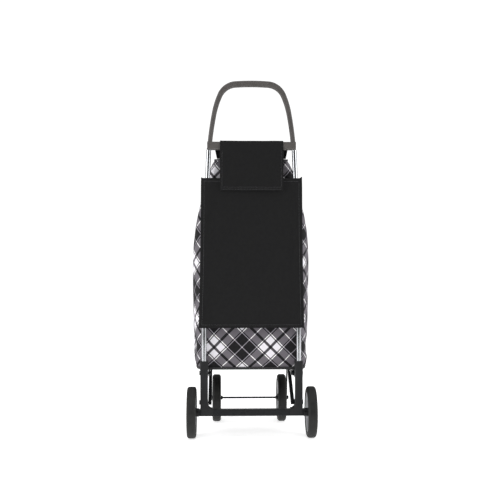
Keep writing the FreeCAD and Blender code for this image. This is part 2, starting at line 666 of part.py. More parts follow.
FRONT_HUB_INNER = f"({FRONT_WHEEL_X} - tyre_width / 2)"
FRONT_HUB_OUTER = f"({LEG_INNER} - end_gap)"
FRONT_RINGS = {
    "front_axle_nuts": (LEG_OUTER, f"{LEG_OUTER} + front_nut_height", "front_nut_radius",
                        FRONT_AXLE_HALF),
    "front_hub_spacers": (f"{FRONT_HUB_INNER} - end_gap - spacer_length",
                          f"{FRONT_HUB_INNER} - end_gap", "spacer_radius", FRONT_WHEEL_X),
}
for label, (near, far, radius, bore_end) in FRONT_RINGS.items():
    rings = []
    for side_name, side in SIDES.items():
        name = f"{side_name}_{label}"
        disc = side_rod(name + "_disc", side, radius, near, far, *AXLE_CENTRE)
        bore = side_rod(name + "_bore", side, "front_axle_radius + running_gap",
                        f"{near} - spacer_length", f"{bore_end} + running_gap", *AXLE_CENTRE)
        rings.append(cut(name, disc, bore))
    subpart(group(label + "_pair", rings), label)


# ---------------------------------------------------------------- wheels

FRONT_HUB_OUTER = f"({LEG_INNER} - end_gap)"


def rim(name, inner_reach, outer_reach, axle_radius):
    """Moulded wheel centre, turned about X, with round holes through its web."""
    body = body_named(name)
    bore = f"{axle_radius} + running_gap"
    seat = f"{TYRE_BORE} - tyre_seat_gap"
    bed = f"{TYRE_BORE} - tyre_seat_gap - rim_wall"
    sketch = new_sketch(body, "XY")
    outline(sketch, [
        (f"-({inner_reach})", bore), (outer_reach, bore), (outer_reach, "hub_radius"),
        ("rim_web / 2", "hub_radius"), ("rim_web / 2", bed), ("rim_width / 2", bed),
        ("rim_width / 2", seat), ("-rim_width / 2", seat), ("-rim_width / 2", bed),
        ("-rim_web / 2", bed), ("-rim_web / 2", "hub_radius"),
        (f"-({inner_reach})", "hub_radius")])
    revolve(body, sketch)
    hole = new_sketch(body, "YZ")
    circle(hole, f"(hub_radius + {TYRE_BORE} - rim_wall) / 2", "0", "spoke_hole_radius")
    opening = pocket(body, hole, "4 * rim_web")
    pattern = body.newObject("PartDesign::PolarPattern", name + "_holes")
    pattern.Originals = [opening]
    line = [f for f in body.Origin.OriginFeatures if f.Role == "X_Axis"][0]
    pattern.Axis = (line, [""])
    pattern.Angle = 360
    bind(pattern, Occurrences="spoke_hole_count")
    body.Tip = pattern
    doc.recompute()
    return body


def tyre(name):
    """Solid rubber tread ring with rounded shoulders."""
    body = body_named(name)
    sketch = new_sketch(body, "XY")
    rectangle(sketch, "-tyre_width / 2", "tyre_width / 2", TYRE_BORE, "wheel_radius")
    ring = revolve(body, sketch)
    tread = value_of("wheel_radius")
    fillet(body, ring, "tyre_shoulder",
           lambda edge: edge.Curve.TypeId == "Part::GeomCircle" and abs(edge.Curve.Radius - tread) < 0.01)
    return body


WHEELS = {
    "rear": (REAR_WHEEL_X, REAR_Y, "rear_axle_radius", f"{REAR_WHEEL_X} - {BAR_HALF} - end_gap",
             f"{REAR_HUB_OUTER} - {REAR_WHEEL_X}"),
    "front": (FRONT_WHEEL_X, FRONT_Y, "front_axle_radius", f"{FRONT_WHEEL_X} - {FRONT_HUB_INNER}",
              f"{FRONT_HUB_OUTER} - {FRONT_WHEEL_X}"),
}
for end_name, (centre, y, axle_radius, inner_reach, outer_reach) in WHEELS.items():
    for side_name, side in SIDES.items():
        for piece in (rim(f"{end_name}_{side_name}_wheel_rim", inner_reach, outer_reach, axle_radius),
                      tyre(f"{end_name}_{side_name}_wheel_tyre")):
            piece.Placement = Placement(Vector(0, 0, 0), Rotation(Vector(0, 0, 1), 90 - 90 * side))
            bind(piece, Placement__Base__x=f"{side} * {centre}", Placement__Base__y=y,
                 Placement__Base__z="wheel_radius")
            subpart(piece, piece.Name.replace("_wheel_", "_"))


# ---------------------------------------------------------------- bag

BAG_REAR = f"({REAR_Y} + upright_depth / 2 + bag_gap)"
BAG_FRONT = f"({BAG_REAR} + bag_depth)"
BAG_FLOOR = f"({PIVOT[1]} + fold_lug_radius + bag_floor_gap)"
RIM_HEIGHT = "(cross_bottom - bag_rim_drop)"
YOKE_HEIGHT = "(cross_bottom - bag_yoke_drop)"
NECK_HEIGHT = "(cross_bottom - bag_neck_drop)"
RIM_FRONT = f"({BAG_FRONT} - bag_rim_setback)"
YOKE_FRONT = f"({BAG_FRONT} - bag_yoke_setback)"


def bag_levels():
    """Height, half width and front of the bag's outside at each level, from the floor up."""
    return [
        (BAG_FLOOR, f"{BAG_HALF} - bag_foot_inset", f"{BAG_FRONT} - bag_foot_inset"),
        (f"{BAG_FLOOR} + bag_foot_height", BAG_HALF, BAG_FRONT),
        ("cross_bottom - bag_shoulder_drop", BAG_HALF, BAG_FRONT),
        (NECK_HEIGHT, "upright_centre + bag_neck_overhang", BAG_FRONT),
        (YOKE_HEIGHT, "upright_centre - bag_yoke_inset", YOKE_FRONT),
        (RIM_HEIGHT, RIM_HALF, RIM_FRONT)]


def bag_section(body, height, half, front, inset="0"):
    """One level of the bag: a rectangle with its corners cut at 45 degrees."""
    sketch = new_sketch(body, "XY", offset=height)
    wide, back, ahead = f"({half} - {inset})", f"({BAG_REAR} + {inset})", f"({front} - {inset})"
    return outline(sketch, [
        (f"-{wide} + bag_corner", back), (f"{wide} - bag_corner", back),
        (wide, f"{back} + bag_corner"), (wide, f"{ahead} - bag_corner"),
        (f"{wide} - bag_corner", ahead), (f"-{wide} + bag_corner", ahead),
        (f"-{wide}", f"{ahead} - bag_corner"), (f"-{wide}", f"{back} + bag_corner")])


def loft(body, kind, sections):
    feature = body.newObject(kind, body.Name + "_loft")
    feature.Profile = sections[0]
    feature.Sections = sections[1:]
    feature.Ruled = True
    body.Tip = feature
    doc.recompute()
    return feature


def bag_shell():
    body = body_named("bag")
    levels = bag_levels()
    loft(body, "PartDesign::AdditiveLoft", [bag_section(body, *level) for level in levels])
    floor, rim_level = levels[0], levels[-1]
    inside = [(f"{floor[0]} + bag_wall",) + floor[1:]] + levels[1:-1]
    inside.append((f"{rim_level[0]} + bag_wall",) + rim_level[1:])
    loft(body, "PartDesign::SubtractiveLoft",
         [bag_section(body, *level, inset="bag_wall") for level in inside])
    return body


subpart(bag_shell(), "bag_shell")

BOARD_HALF = f"({BAG_HALF} - bag_foot_inset - board_margin)"
BOARD_FRONT = f"({BAG_FRONT} - bag_foot_inset - board_margin)"
BOARD_REAR = f"({PIVOT[0]} + fold_lug_radius + board_lug_gap)"


def base_board():
    """Stiff plate on the bag's floor; it follows the floor's cut front corners."""
    body = body_named("board")
    sketch = new_sketch(body, "XY", offset=f"{BAG_FLOOR} + bag_wall + board_lift")
    outline(sketch, [
        (f"-{BOARD_HALF}", BOARD_REAR), (BOARD_HALF, BOARD_REAR),
        (BOARD_HALF, f"{BOARD_FRONT} - bag_corner"), (f"{BOARD_HALF} - bag_corner", BOARD_FRONT),
        (f"-{BOARD_HALF} + bag_corner", BOARD_FRONT), (f"-{BOARD_HALF}", f"{BOARD_FRONT} - bag_corner")])
    pad(body, sketch, "board_thickness", both_ways=False)
    return body


subpart(base_board(), "base_board")


# ---------------------------------------------------------------- lid and buckle

LID_BOTTOM = f"({RIM_HEIGHT} + lid_gap)"
LID_TOP = f"({LID_BOTTOM} + lid_thickness)"
DROP_REAR = f"({BAG_FRONT} + lid_gap)"
DROP_FRONT = f"({DROP_REAR} + lid_thickness)"
DROP_BOTTOM = f"({RIM_HEIGHT} - lid_drop)"
HINGE_Y = f"({BAG_REAR} + lid_hinge_inset)"


def lid():
    """One bent panel: flat over the rim, sloping past the shoulder, and hanging down the front."""
    body = body_named("lid")
    sketch = new_sketch(body, "YZ")
    outline(sketch, [
        (HINGE_Y, LID_BOTTOM), (f"{RIM_FRONT} + lid_gap", LID_BOTTOM),
        (f"{YOKE_FRONT} + lid_gap", YOKE_HEIGHT), (DROP_REAR, NECK_HEIGHT),
        (DROP_REAR, DROP_BOTTOM), (DROP_FRONT, DROP_BOTTOM), (DROP_FRONT, NECK_HEIGHT),
        (f"{YOKE_FRONT} + lid_gap + lid_thickness", YOKE_HEIGHT),
        (f"{RIM_FRONT} + lid_gap + lid_thickness", LID_TOP), (HINGE_Y, LID_TOP)])
    pad(body, sketch, f"2 * ({RIM_HALF} + lid_overhang)")
    return body


subpart(lid(), "bag_lid")

STRAP_REAR = f"({DROP_FRONT} + strap_gap)"
PLUG_BOTTOM = f"({DROP_BOTTOM} - plug_height / 2)"
SOCKET_TOP = f"({PLUG_BOTTOM} - lid_gap)"
subpart(box("lid_webbing", "-strap_width / 2", STRAP_REAR, f"{PLUG_BOTTOM} + plug_height",
            "strap_width", "strap_thickness", "lid_strap_length"), "lid_strap")
subpart(box("plug_block", "-buckle_width / 2", STRAP_REAR, PLUG_BOTTOM, "buckle_width",
            "buckle_thickness", "plug_height"), "buckle_plug")
subpart(box("socket_block", "-buckle_width / 2", STRAP_REAR, f"{SOCKET_TOP} - socket_height",
            "buckle_width", "buckle_thickness", "socket_height"), "buckle_socket")
subpart(box("bag_webbing", "-strap_width / 2", f"{BAG_FRONT} + strap_gap",
            f"{SOCKET_TOP} - bag_strap_length", "strap_width",
            f"{STRAP_REAR} - {BAG_FRONT} - 2 * strap_gap", "bag_strap_length"), "bag_strap")


# ---------------------------------------------------------------- rear panel, band and flap

def upright_sheet(name, rear, thickness, points):
    """A flat piece that stands across Y, with its rear face at rear."""
    body = body_named(name)
    sketch = new_sketch(body, "XZ", offset=f"-({rear} + {thickness} / 2)")
    outline(sketch, points)
    pad(body, sketch, thickness)
    return body


PANEL_REAR = f"({REAR_Y} - tube_radius - panel_gap - panel_thickness)"
PANEL_TOP = "(cross_bottom - panel_drop)"
PANEL_FOOT_HALF = "(upright_centre + panel_foot_margin)"
PANEL_TOP_HALF = "(upright_centre + panel_top_margin)"
subpart(upright_sheet("panel", PANEL_REAR, "panel_thickness", [
    (f"-{PANEL_FOOT_HALF}", f"{PANEL_TOP} - panel_height"),
    (PANEL_FOOT_HALF, f"{PANEL_TOP} - panel_height"),
    (PANEL_TOP_HALF, PANEL_TOP), (f"-{PANEL_TOP_HALF}", PANEL_TOP)]), "rear_panel")

BAND_REAR = f"({CROSS_FRONT} + band_gap)"
BAND_HALF = f"({CROSS_HALF} - band_margin)"
subpart(upright_sheet("band", BAND_REAR, "band_thickness", [
    (f"-{BAND_HALF} + band_taper", "cross_bottom - band_drop"),
    (f"{BAND_HALF} - band_taper", "cross_bottom - band_drop"),
    (BAND_HALF, "cross_bottom + band_overlap"),
    (f"-{BAND_HALF}", "cross_bottom + band_overlap")]), "hang_band")

FLAP_FRONT = f"({CROSS_REAR} - flap_gap)"
FLAP_REAR = f"({FLAP_FRONT} - flap_thickness)"
FLAP_TOP = f"({CROSS_TOP} - flap_hinge_drop)"
WRAP_REAR_FOOT = f"({FLAP_TOP} + flap_gap)"
WRAP_LOW = f"({CROSS_TOP} + flap_gap)"
WRAP_HIGH = f"({WRAP_LOW} + flap_thickness)"
WRAP_FRONT_FOOT = f"({CROSS_TOP} - flap_front_drop)"
WRAP_INNER = f"({CROSS_FRONT} + band_gap)"
WRAP_OUTER = f"({WRAP_INNER} + flap_thickness)"
wrap = body_named("wrap")
wrap_profile = outline(new_sketch(wrap, "YZ"), [
    (FLAP_REAR, WRAP_REAR_FOOT), (FLAP_FRONT, WRAP_REAR_FOOT), (FLAP_FRONT, WRAP_LOW),
    (WRAP_INNER, WRAP_LOW), (WRAP_INNER, WRAP_FRONT_FOOT), (WRAP_OUTER, WRAP_FRONT_FOOT),
    (WRAP_OUTER, WRAP_HIGH), (FLAP_REAR, WRAP_HIGH)])
pad(wrap, wrap_profile, f"2 * {FLAP_HALF}")
subpart(wrap, "flap_fold")
subpart(upright_sheet("flap", FLAP_REAR, "flap_thickness", [
    (f"-{FLAP_HALF}", f"{FLAP_TOP} - flap_length"), (FLAP_HALF, f"{FLAP_TOP} - flap_length"),
    (FLAP_HALF, FLAP_TOP), (f"-{FLAP_HALF}", FLAP_TOP)]), "carry_flap")


# ---------------------------------------------------------------- check and write

doc.recompute()
for obj in doc.Objects:
    if "Invalid" in obj.State or "Error" in obj.State:
        raise RuntimeError(f"{obj.Name} failed: {obj.State}")
for piece in SUBPARTS:
    if piece.Shape.isNull() or not piece.Shape.isValid():
        raise RuntimeError(f"{piece.Label} has no valid shape")
os.makedirs("parts", exist_ok=True)
for piece in SUBPARTS:
    piece.Shape.exportStep(f"parts/{piece.Label}.step")
    size = piece.Shape.BoundBox
    print(f"{piece.Label:24s} solids {len(piece.Shape.Solids)} volume {piece.Shape.Volume:10.0f} "
          f"x {size.XMin:7.1f} {size.XMax:7.1f} y {size.YMin:7.1f} {size.YMax:7.1f} "
          f"z {size.ZMin:7.1f} {size.ZMax:7.1f}")
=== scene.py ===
"""A four-wheeled shopping trolley: the dressed model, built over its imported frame."""

import logging
import math
from dataclasses import dataclass
from enum import Enum
from typing import Callable, Iterable, Sequence

import bmesh
import bpy
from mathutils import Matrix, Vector, noise
from mathutils.bvhtree import BVHTree


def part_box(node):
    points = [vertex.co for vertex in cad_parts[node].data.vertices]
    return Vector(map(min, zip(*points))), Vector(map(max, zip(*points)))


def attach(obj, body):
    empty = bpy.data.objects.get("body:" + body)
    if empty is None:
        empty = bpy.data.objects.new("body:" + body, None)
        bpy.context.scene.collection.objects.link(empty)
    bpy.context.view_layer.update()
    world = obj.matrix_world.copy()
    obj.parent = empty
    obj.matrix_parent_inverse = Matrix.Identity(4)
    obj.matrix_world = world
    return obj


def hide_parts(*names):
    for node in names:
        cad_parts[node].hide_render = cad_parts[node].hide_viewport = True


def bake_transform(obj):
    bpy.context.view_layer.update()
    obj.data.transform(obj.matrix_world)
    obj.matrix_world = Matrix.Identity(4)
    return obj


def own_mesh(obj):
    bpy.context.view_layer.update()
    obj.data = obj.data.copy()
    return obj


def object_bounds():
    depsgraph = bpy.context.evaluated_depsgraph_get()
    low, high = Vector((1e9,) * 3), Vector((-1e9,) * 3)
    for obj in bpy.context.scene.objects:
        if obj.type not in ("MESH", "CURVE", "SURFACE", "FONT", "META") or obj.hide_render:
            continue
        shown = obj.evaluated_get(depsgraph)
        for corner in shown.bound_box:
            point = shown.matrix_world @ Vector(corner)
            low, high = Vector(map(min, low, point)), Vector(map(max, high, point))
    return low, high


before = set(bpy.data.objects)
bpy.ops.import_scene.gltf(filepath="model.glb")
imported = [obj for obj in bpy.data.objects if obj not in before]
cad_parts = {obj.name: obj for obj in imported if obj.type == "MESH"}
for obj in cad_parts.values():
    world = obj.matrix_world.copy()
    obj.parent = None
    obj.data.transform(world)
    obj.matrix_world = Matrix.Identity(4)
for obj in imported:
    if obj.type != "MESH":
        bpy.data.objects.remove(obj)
CAD_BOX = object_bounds()
LOG = logging.getLogger("trolley")
MM = 0.001
CLOTH_MAP = "Cloth"
Point = tuple[float, float]
Tree = bpy.types.NodeTree
Node = bpy.types.Node
Socket = bpy.types.NodeSocket
Material = bpy.types.Material
Piece = bpy.types.Object


class Weave(Enum):
    """How the threads of a cloth cross."""

    PLAIN = "plain"
    TWILL = "twill"


# ---------------------------------------------------------------- small helpers

def linear(colour: str) -> tuple[float, float, float, float]:
    """Turn an sRGB hex colour to linear light.

    Args:
        colour: Six hex digits after a hash sign.

    Returns:
        Linear red, green, blue and an alpha of one.
    """
    parts = [int(colour[i:i + 2], 16) / 255 for i in (1, 3, 5)]
    lit = [p / 12.92 if p <= 0.04045 else ((p + 0.055) / 1.055) ** 2.4 for p in parts]
    return (lit[0], lit[1], lit[2], 1.0)


def add_node(tree: Tree, kind: str, inputs: dict | None = None,
             **settings: object) -> Node:
    """Add one shader node with its settings and links.

    Args:
        tree: The material's node tree.
        kind: The node's type, without the words ShaderNode.
        inputs: Values or sockets for its inputs, by name or number.
        settings: Properties of the node itself.

    Returns:
        The new node.
    """
    made = tree.nodes.new("ShaderNode" + kind)
    for name, value in settings.items():
        setattr(made, name, value)
    for name, value in (inputs or {}).items():
        if isinstance(value, Socket):
            tree.links.new(value, made.inputs[name])
        else:
            made.inputs[name].default_value = value
    return made


def set_ramp(ramp: Node, stops: Sequence[tuple[float, str | float]], hard: bool = False) -> None:
    """Give a colour ramp its stops.

    Args:
        ramp: The ramp node.
        stops: Positions, each with a hex colour or a grey level.
        hard: Whether the colour jumps from stop to stop.
    """
    band = ramp.color_ramp
    band.interpolation = "CONSTANT" if hard else "LINEAR"
    while len(band.elements) < len(stops):
        band.elements.new(1.0)
    for element, (place, tone) in zip(band.elements, stops):
        element.position = place
        element.color = linear(tone) if isinstance(tone, str) else (tone, tone, tone, 1.0)


def smooth_step(low: float, high: float, value: float) -> float:
    """Rise smoothly from 0 at low to 1 at high.

    Args:
        low: Where it starts to rise.
        high: Where it has risen.
        value: The place asked for.

    Returns:
        The height there.
    """
    share = min(1.0, max(0.0, (value - low) / (high - low)))
    return share * share * (3 - 2 * share)


def bell(distance: float, width: float) -> float:
    """A round hump that is 1 at no distance and fades over width."""
    return math.exp(-(distance / width) ** 2)


def runs_along(points: Sequence[Vector | Point]) -> list[float]:
    """How far along a line each of its points lies.

    Args:
        points: The line's points.

    Returns:
        The distance from the first point to each.
    """
    lengths = [0.0]
    for a, b in zip(points, points[1:]):
        lengths.append(lengths[-1] + math.dist(a, b))
    return lengths


# ---------------------------------------------------------------- finishes

@dataclass(frozen=True)
class Finish:
    """A surface finish; each kind says what the real material is and how it was made."""

    name: str
    colour: str

    def build(self) -> Material:
        """Make the material.

        Returns:
            A material whose nodes give colour, roughness and bump.
        """
        material = bpy.data.materials.new(self.name)
        material.use_nodes = True
        tree = material.node_tree
        tree.nodes.clear()
        shader = add_node(tree, "BsdfPrincipled")
        self.dress(tree, shader)
        add_node(tree, "OutputMaterial", {"Surface": shader.outputs[0]})
        return material

    def dress(self, tree: Tree, shader: Node) -> None:
        """Wire the finish's own nodes into its shader.

        Args:
            tree: The material's node tree.
            shader: Its main shader.
        """
        raise NotImplementedError


def place_of(tree: Tree, stretch: tuple[float, float, float] = (1, 1, 1)) -> Socket:
    """The point on the piece, in metres, stretched along each axis."""
    spot = add_node(tree, "TexCoord").outputs["Object"]
    return add_node(tree, "Mapping", {"Vector": spot, "Scale": stretch}).outputs[0]


def blotches(tree: Tree, place: Socket, size: float,
             detail: float = 3.0) -> Socket:
    """Soft random patches about size metres across, from 0 to 1."""
    return add_node(tree, "TexNoise", {"Vector": place, "Scale": 1 / size, "Detail": detail}).outputs[0]


def varied(tree: Tree, level: Socket, low: float, high: float) -> Socket:
    """Stretch the middle of a 0 to 1 pattern over low to high."""
    return add_node(tree, "MapRange", {"Value": level, "From Min": 0.3, "From Max": 0.7,
                                       "To Min": low, "To Max": high}).outputs[0]


def tinted(tree: Tree, level: Socket, low: str, high: str) -> Socket:
    """Colour that follows a 0 to 1 pattern from low to high.

    Args:
        tree: The material's node tree.
        level: The pattern.
        low: The hex colour at its low side.
        high: The hex colour at its high side.

    Returns:
        A colour socket.
    """
    ramp = add_node(tree, "ValToRGB", {"Fac": level})
    set_ramp(ramp, [(0.3, low), (0.7, high)])
    return ramp.outputs[0]


def bumped(tree: Tree, shader: Node, height: Socket, depth: float) -> None:
    """Raise the surface by depth metres where the pattern is 1."""
    bump = add_node(tree, "Bump", {"Height": height, "Distance": depth, "Strength": 1.0})
    tree.links.new(bump.outputs[0], shader.inputs["Normal"])


@dataclass(frozen=True)
class PolishedAluminium(Finish):
    """Aluminium tube, drawn and then bright polished: mirror-like, with faint lines along the draw."""

    roughness: float = 0.13
    line_pitch: float = 0.35 * MM      # drawing lines are finer; this is as fine as a close view shows

    def dress(self, tree: Tree, shader: Node) -> None:
        """Wire drawing lines and slight handling marks.

        Args:
            tree: The material's node tree.
            shader: Its main shader.
        """
        along = place_of(tree, (1, 1, 0.01))
        lines = blotches(tree, along, self.line_pitch, 2)
        marks = blotches(tree, place_of(tree), 30 * MM)
        shader.inputs["Metallic"].default_value = 1.0
        tree.links.new(tinted(tree, marks, self.colour, "#C2C4C7"), shader.inputs["Base Color"])
        both = add_node(tree, "Math", {0: lines, 1: marks}, operation="MULTIPLY").outputs[0]
        spread = add_node(tree, "MapRange", {"Value": both, "From Min": 0.1, "From Max": 0.5,
                                             "To Min": self.roughness * 0.7, "To Max": self.roughness * 1.6})
        tree.links.new(spread.outputs[0], shader.inputs["Roughness"])
        bumped(tree, shader, lines, 0.004 * MM)


@dataclass(frozen=True)
class PlatedSteel(Finish):
    """Steel blackened in a salt bath: a satin dark metal with cloudy patches."""

    cloudy: str = "#3E3F42"
    roughness: float = 0.34

    def dress(self, tree: Tree, shader: Node) -> None:
        """Wire the cloudy patches and turned marks.

        Args:
            tree: The material's node tree.
            shader: Its main shader.
        """
        cloud = blotches(tree, place_of(tree), 4 * MM, 4)
        shader.inputs["Metallic"].default_value = 1.0
        tree.links.new(tinted(tree, cloud, self.colour, self.cloudy), shader.inputs["Base Color"])
        sheen = varied(tree, cloud, self.roughness * 0.8, self.roughness * 1.3)
        tree.links.new(sheen, shader.inputs["Roughness"])
        bumped(tree, shader, cloud, 0.02 * MM)


@dataclass(frozen=True)
class CoatedSteel(Finish):
    """Steel with baked black powder coat: a low orange-peel skin, satin, rubbed lighter on its edges."""

    worn: str = "#17181A"
    peel: float = 1.6 * MM             # orange-peel ripples of powder coat are 1 to 2 mm across
    roughness: float = 0.27

    def dress(self, tree: Tree, shader: Node) -> None:
        """Wire orange peel, edge wear and a little dust.

        Args:
            tree: The material's node tree.
            shader: Its main shader.
        """
        spot = place_of(tree)
        peel = blotches(tree, spot, self.peel, 2)
        dust = blotches(tree, spot, 25 * MM, 5)
        edge = add_node(tree, "NewGeometry").outputs["Pointiness"]
        rubbed = add_node(tree, "MapRange", {"Value": edge, "From Min": 0.53, "From Max": 0.6})
        skin = tinted(tree, dust, self.colour, "#101112")
        mixed = add_node(tree, "Mix", {0: rubbed.outputs[0], 6: skin, 7: linear(self.worn)}, data_type="RGBA")
        tree.links.new(mixed.outputs[2], shader.inputs["Base Color"])
        satin = varied(tree, dust, self.roughness * 0.85, self.roughness * 1.25)
        tree.links.new(satin, shader.inputs["Roughness"])
        shader.inputs["IOR"].default_value = 1.52
        shader.inputs["Specular IOR Level"].default_value = 0.16
        bumped(tree, shader, peel, 0.04 * MM)


@dataclass(frozen=True)
class MouldedPlastic(Finish):
    """Injection-moulded plastic with a spark-eroded grain: matt, a touch lighter where hands polish it."""

    rubbed: str = "#3B3A39"
    grain: float = 0.7 * MM            # the mould's grain is 0.1 to 0.3 mm; drawn coarser so it shows
    roughness: float = 0.5
    depth: float = 0.03 * MM
    ior: float = 1.5
    gloss: float = 0.3

    def dress(self, tree: Tree, shader: Node) -> None:
        """Wire the grain, flow marks and rubbed edges.

        Args:
            tree: The material's node tree.
            shader: Its main shader.
        """
        spot = place_of(tree)
        grain = add_node(tree, "TexVoronoi", {"Vector": spot, "Scale": 1 / self.grain}, feature="SMOOTH_F1")
        flow = blotches(tree, spot, 45 * MM, 4)
        edge = add_node(tree, "NewGeometry").outputs["Pointiness"]
        worn = add_node(tree, "MapRange", {"Value": edge, "From Min": 0.52, "From Max": 0.62, "To Max": 0.6})
        skin = tinted(tree, flow, self.colour, self.rubbed)
        mixed = add_node(tree, "Mix", {0: worn.outputs[0], 6: skin, 7: linear(self.rubbed)}, data_type="RGBA")
        tree.links.new(mixed.outputs[2], shader.inputs["Base Color"])
        matt = varied(tree, flow, self.roughness * 0.85, self.roughness * 1.2)
        tree.links.new(matt, shader.inputs["Roughness"])
        shader.inputs["IOR"].default_value = self.ior
        shader.inputs["Specular IOR Level"].default_value = self.gloss
        bumped(tree, shader, grain.outputs[0], self.depth)


@dataclass(frozen=True)
class WheelRim(MouldedPlastic):
    """Grey polypropylene rim with a black nylon bush pressed into its hub."""

    bush: str = "#0C0C0D"
    bush_radius: float = 13.2 * MM
    centre: Point = (0.0, 0.0)         # the wheel's Y and Z

    def dress(self, tree: Tree, shader: Node) -> None:
        """Wire the moulded grey, and black inside the hub's radius.

        Args:
            tree: The material's node tree.
            shader: Its main shader.
        """
        super().dress(tree, shader)
        grey = shader.inputs["Base Color"].links[0].from_socket
        away = add_node(tree, "VectorMath", {0: place_of(tree, (0, 1, 1)), 1: (0.0, *self.centre)},
                        operation="DISTANCE").outputs["Value"]
        inside = add_node(tree, "MapRange", {"Value": away, "From Min": self.bush_radius + 0.3 * MM,
                                             "From Max": self.bush_radius}).outputs[0]
        mixed = add_node(tree, "Mix", {0: inside, 6: grey, 7: linear(self.bush)}, data_type="RGBA")
        tree.links.new(mixed.outputs[2], shader.inputs["Base Color"])


@dataclass(frozen=True)
class TyreRubber(Finish):
    """Solid EVA rubber: matt and slightly chalky, with fine moulded lines round the tread."""

    scuffed: str = "#4A4A49"
    rib_pitch: float = 1.8 * MM        # the mould's turned lines, drawn coarser than their 0.8 mm
    roughness: float = 0.62

    def dress(self, tree: Tree, shader: Node) -> None:
        """Wire the turned lines, chalky bloom and pores.

        Args:
            tree: The material's node tree.
            shader: Its main shader.
        """
        spot = place_of(tree)
        ribs = add_node(tree, "TexWave", {"Vector": spot, "Scale": 0.314 / self.rib_pitch},
                        wave_type="BANDS", bands_direction="X", wave_profile="SIN").outputs[1]
        pores = blotches(tree, spot, 1.1 * MM, 2)
        bloom = blotches(tree, spot, 18 * MM, 5)
        tree.links.new(tinted(tree, bloom, self.colour, self.scuffed), shader.inputs["Base Color"])
        chalk = varied(tree, bloom, self.roughness * 0.85, self.roughness * 1.2)
        tree.links.new(chalk, shader.inputs["Roughness"])
        shader.inputs["IOR"].default_value = 1.48
        shader.inputs["Specular IOR Level"].default_value = 0.3
        height = add_node(tree, "Math", {0: ribs, 1: pores}, operation="ADD").outputs[0]
        bumped(tree, shader, height, 0.06 * MM)


def cloth_place(tree: Tree, turn: float = 0.0, shift: Point = (0.0, 0.0)) -> Node:
    """The spot on flat cloth, in metres, split to its two directions.

    Args:
        tree: The material's node tree.
        turn: How far the threads are turned, in radians.
        shift: Where the pattern starts, in metres along each thread direction.

    Returns:
        A node whose outputs 0 and 1 run along and across the threads.
    """
    flat = add_node(tree, "UVMap", uv_map=CLOTH_MAP).outputs[0]
    turned = add_node(tree, "Mapping", {"Vector": flat, "Rotation": (0, 0, turn),
                                        "Location": (shift[0], shift[1], 0)})
    return add_node(tree, "SeparateXYZ", {0: turned.outputs[0]})


def thread_height(tree: Tree, spot: Node, pitch: float, weave: Weave) -> Socket:
    """The height of crossing threads, from 0 to 1.

    Args:
        tree: The material's node tree.
        spot: The node from cloth_place.
        pitch: The distance between threads in metres.
        weave: Plain or twill.

    Returns:
        A socket with the height.
    """
    u, v = spot.outputs[0], spot.outputs[1]
    if weave is Weave.TWILL:
        across = add_node(tree, "Math", {0: u, 1: v}, operation="ADD").outputs[0]
        scaled = add_node(tree, "Math", {0: across, 1: 2 * math.pi / pitch}, operation="MULTIPLY").outputs[0]
        ridge = add_node(tree, "Math", {0: scaled}, operation="SINE").outputs[0]
        return add_node(tree, "MapRange", {"Value": ridge, "From Min": -1.0, "From Max": 1.0}).outputs[0]
    waves = []
    for direction in (u, v):
        scaled = add_node(tree, "Math", {0: direction, 1: math.pi / pitch}, operation="MULTIPLY").outputs[0]
        waves.append(add_node(tree, "Math", {0: scaled}, operation="SINE").outputs[0])
    crossed = add_node(tree, "Math", {0: waves[0], 1: waves[1]}, operation="MULTIPLY").outputs[0]
    return add_node(tree, "MapRange", {"Value": crossed, "From Min": -1.0, "From Max": 1.0}).outputs[0]


@dataclass(frozen=True)
class WovenPolyester(Finish):
    """Coated 600-denier polyester: a tight basket of flat threads, matt, with a thin fibre sheen."""

    lighter: str = "#2A2A2C"
    thread_pitch: float = 1.3 * MM     # threads lie about 0.5 mm apart; drawn coarser so that they show
    roughness: float = 0.74
    weave: Weave = Weave.PLAIN

    def dress(self, tree: Tree, shader: Node) -> None:
        """Wire the threads and uneven dye.

        Args:
            tree: The material's node tree.
            shader: Its main shader.
        """
        spot = cloth_place(tree)
        threads = thread_height(tree, spot, self.thread_pitch, self.weave)
        slub = blotches(tree, place_of(tree), 9 * MM, 6)
        skin = tinted(tree, slub, self.colour, self.lighter)
        # The threads' height scales the colour: painted shade between the threads and a painted highlight on
        # their tops.
        painted_thread_shading = add_node(tree, "MapRange", {"Value": threads, "To Min": 0.8, "To Max": 1.1}).outputs[0]
        shaded = add_node(tree, "VectorMath", {0: skin}, operation="SCALE")
        tree.links.new(painted_thread_shading, shaded.inputs["Scale"])
        tree.links.new(shaded.outputs[0], shader.inputs["Base Color"])
        matt = varied(tree, slub, self.roughness * 0.9, self.roughness * 1.15)
        tree.links.new(matt, shader.inputs["Roughness"])
        shader.inputs["IOR"].default_value = 1.5
        shader.inputs["Specular IOR Level"].default_value = 0.24
        shader.inputs["Sheen Weight"].default_value = 0.02
        shader.inputs["Sheen Roughness"].default_value = 0.5
        bumped(tree, shader, threads, 0.12 * MM)


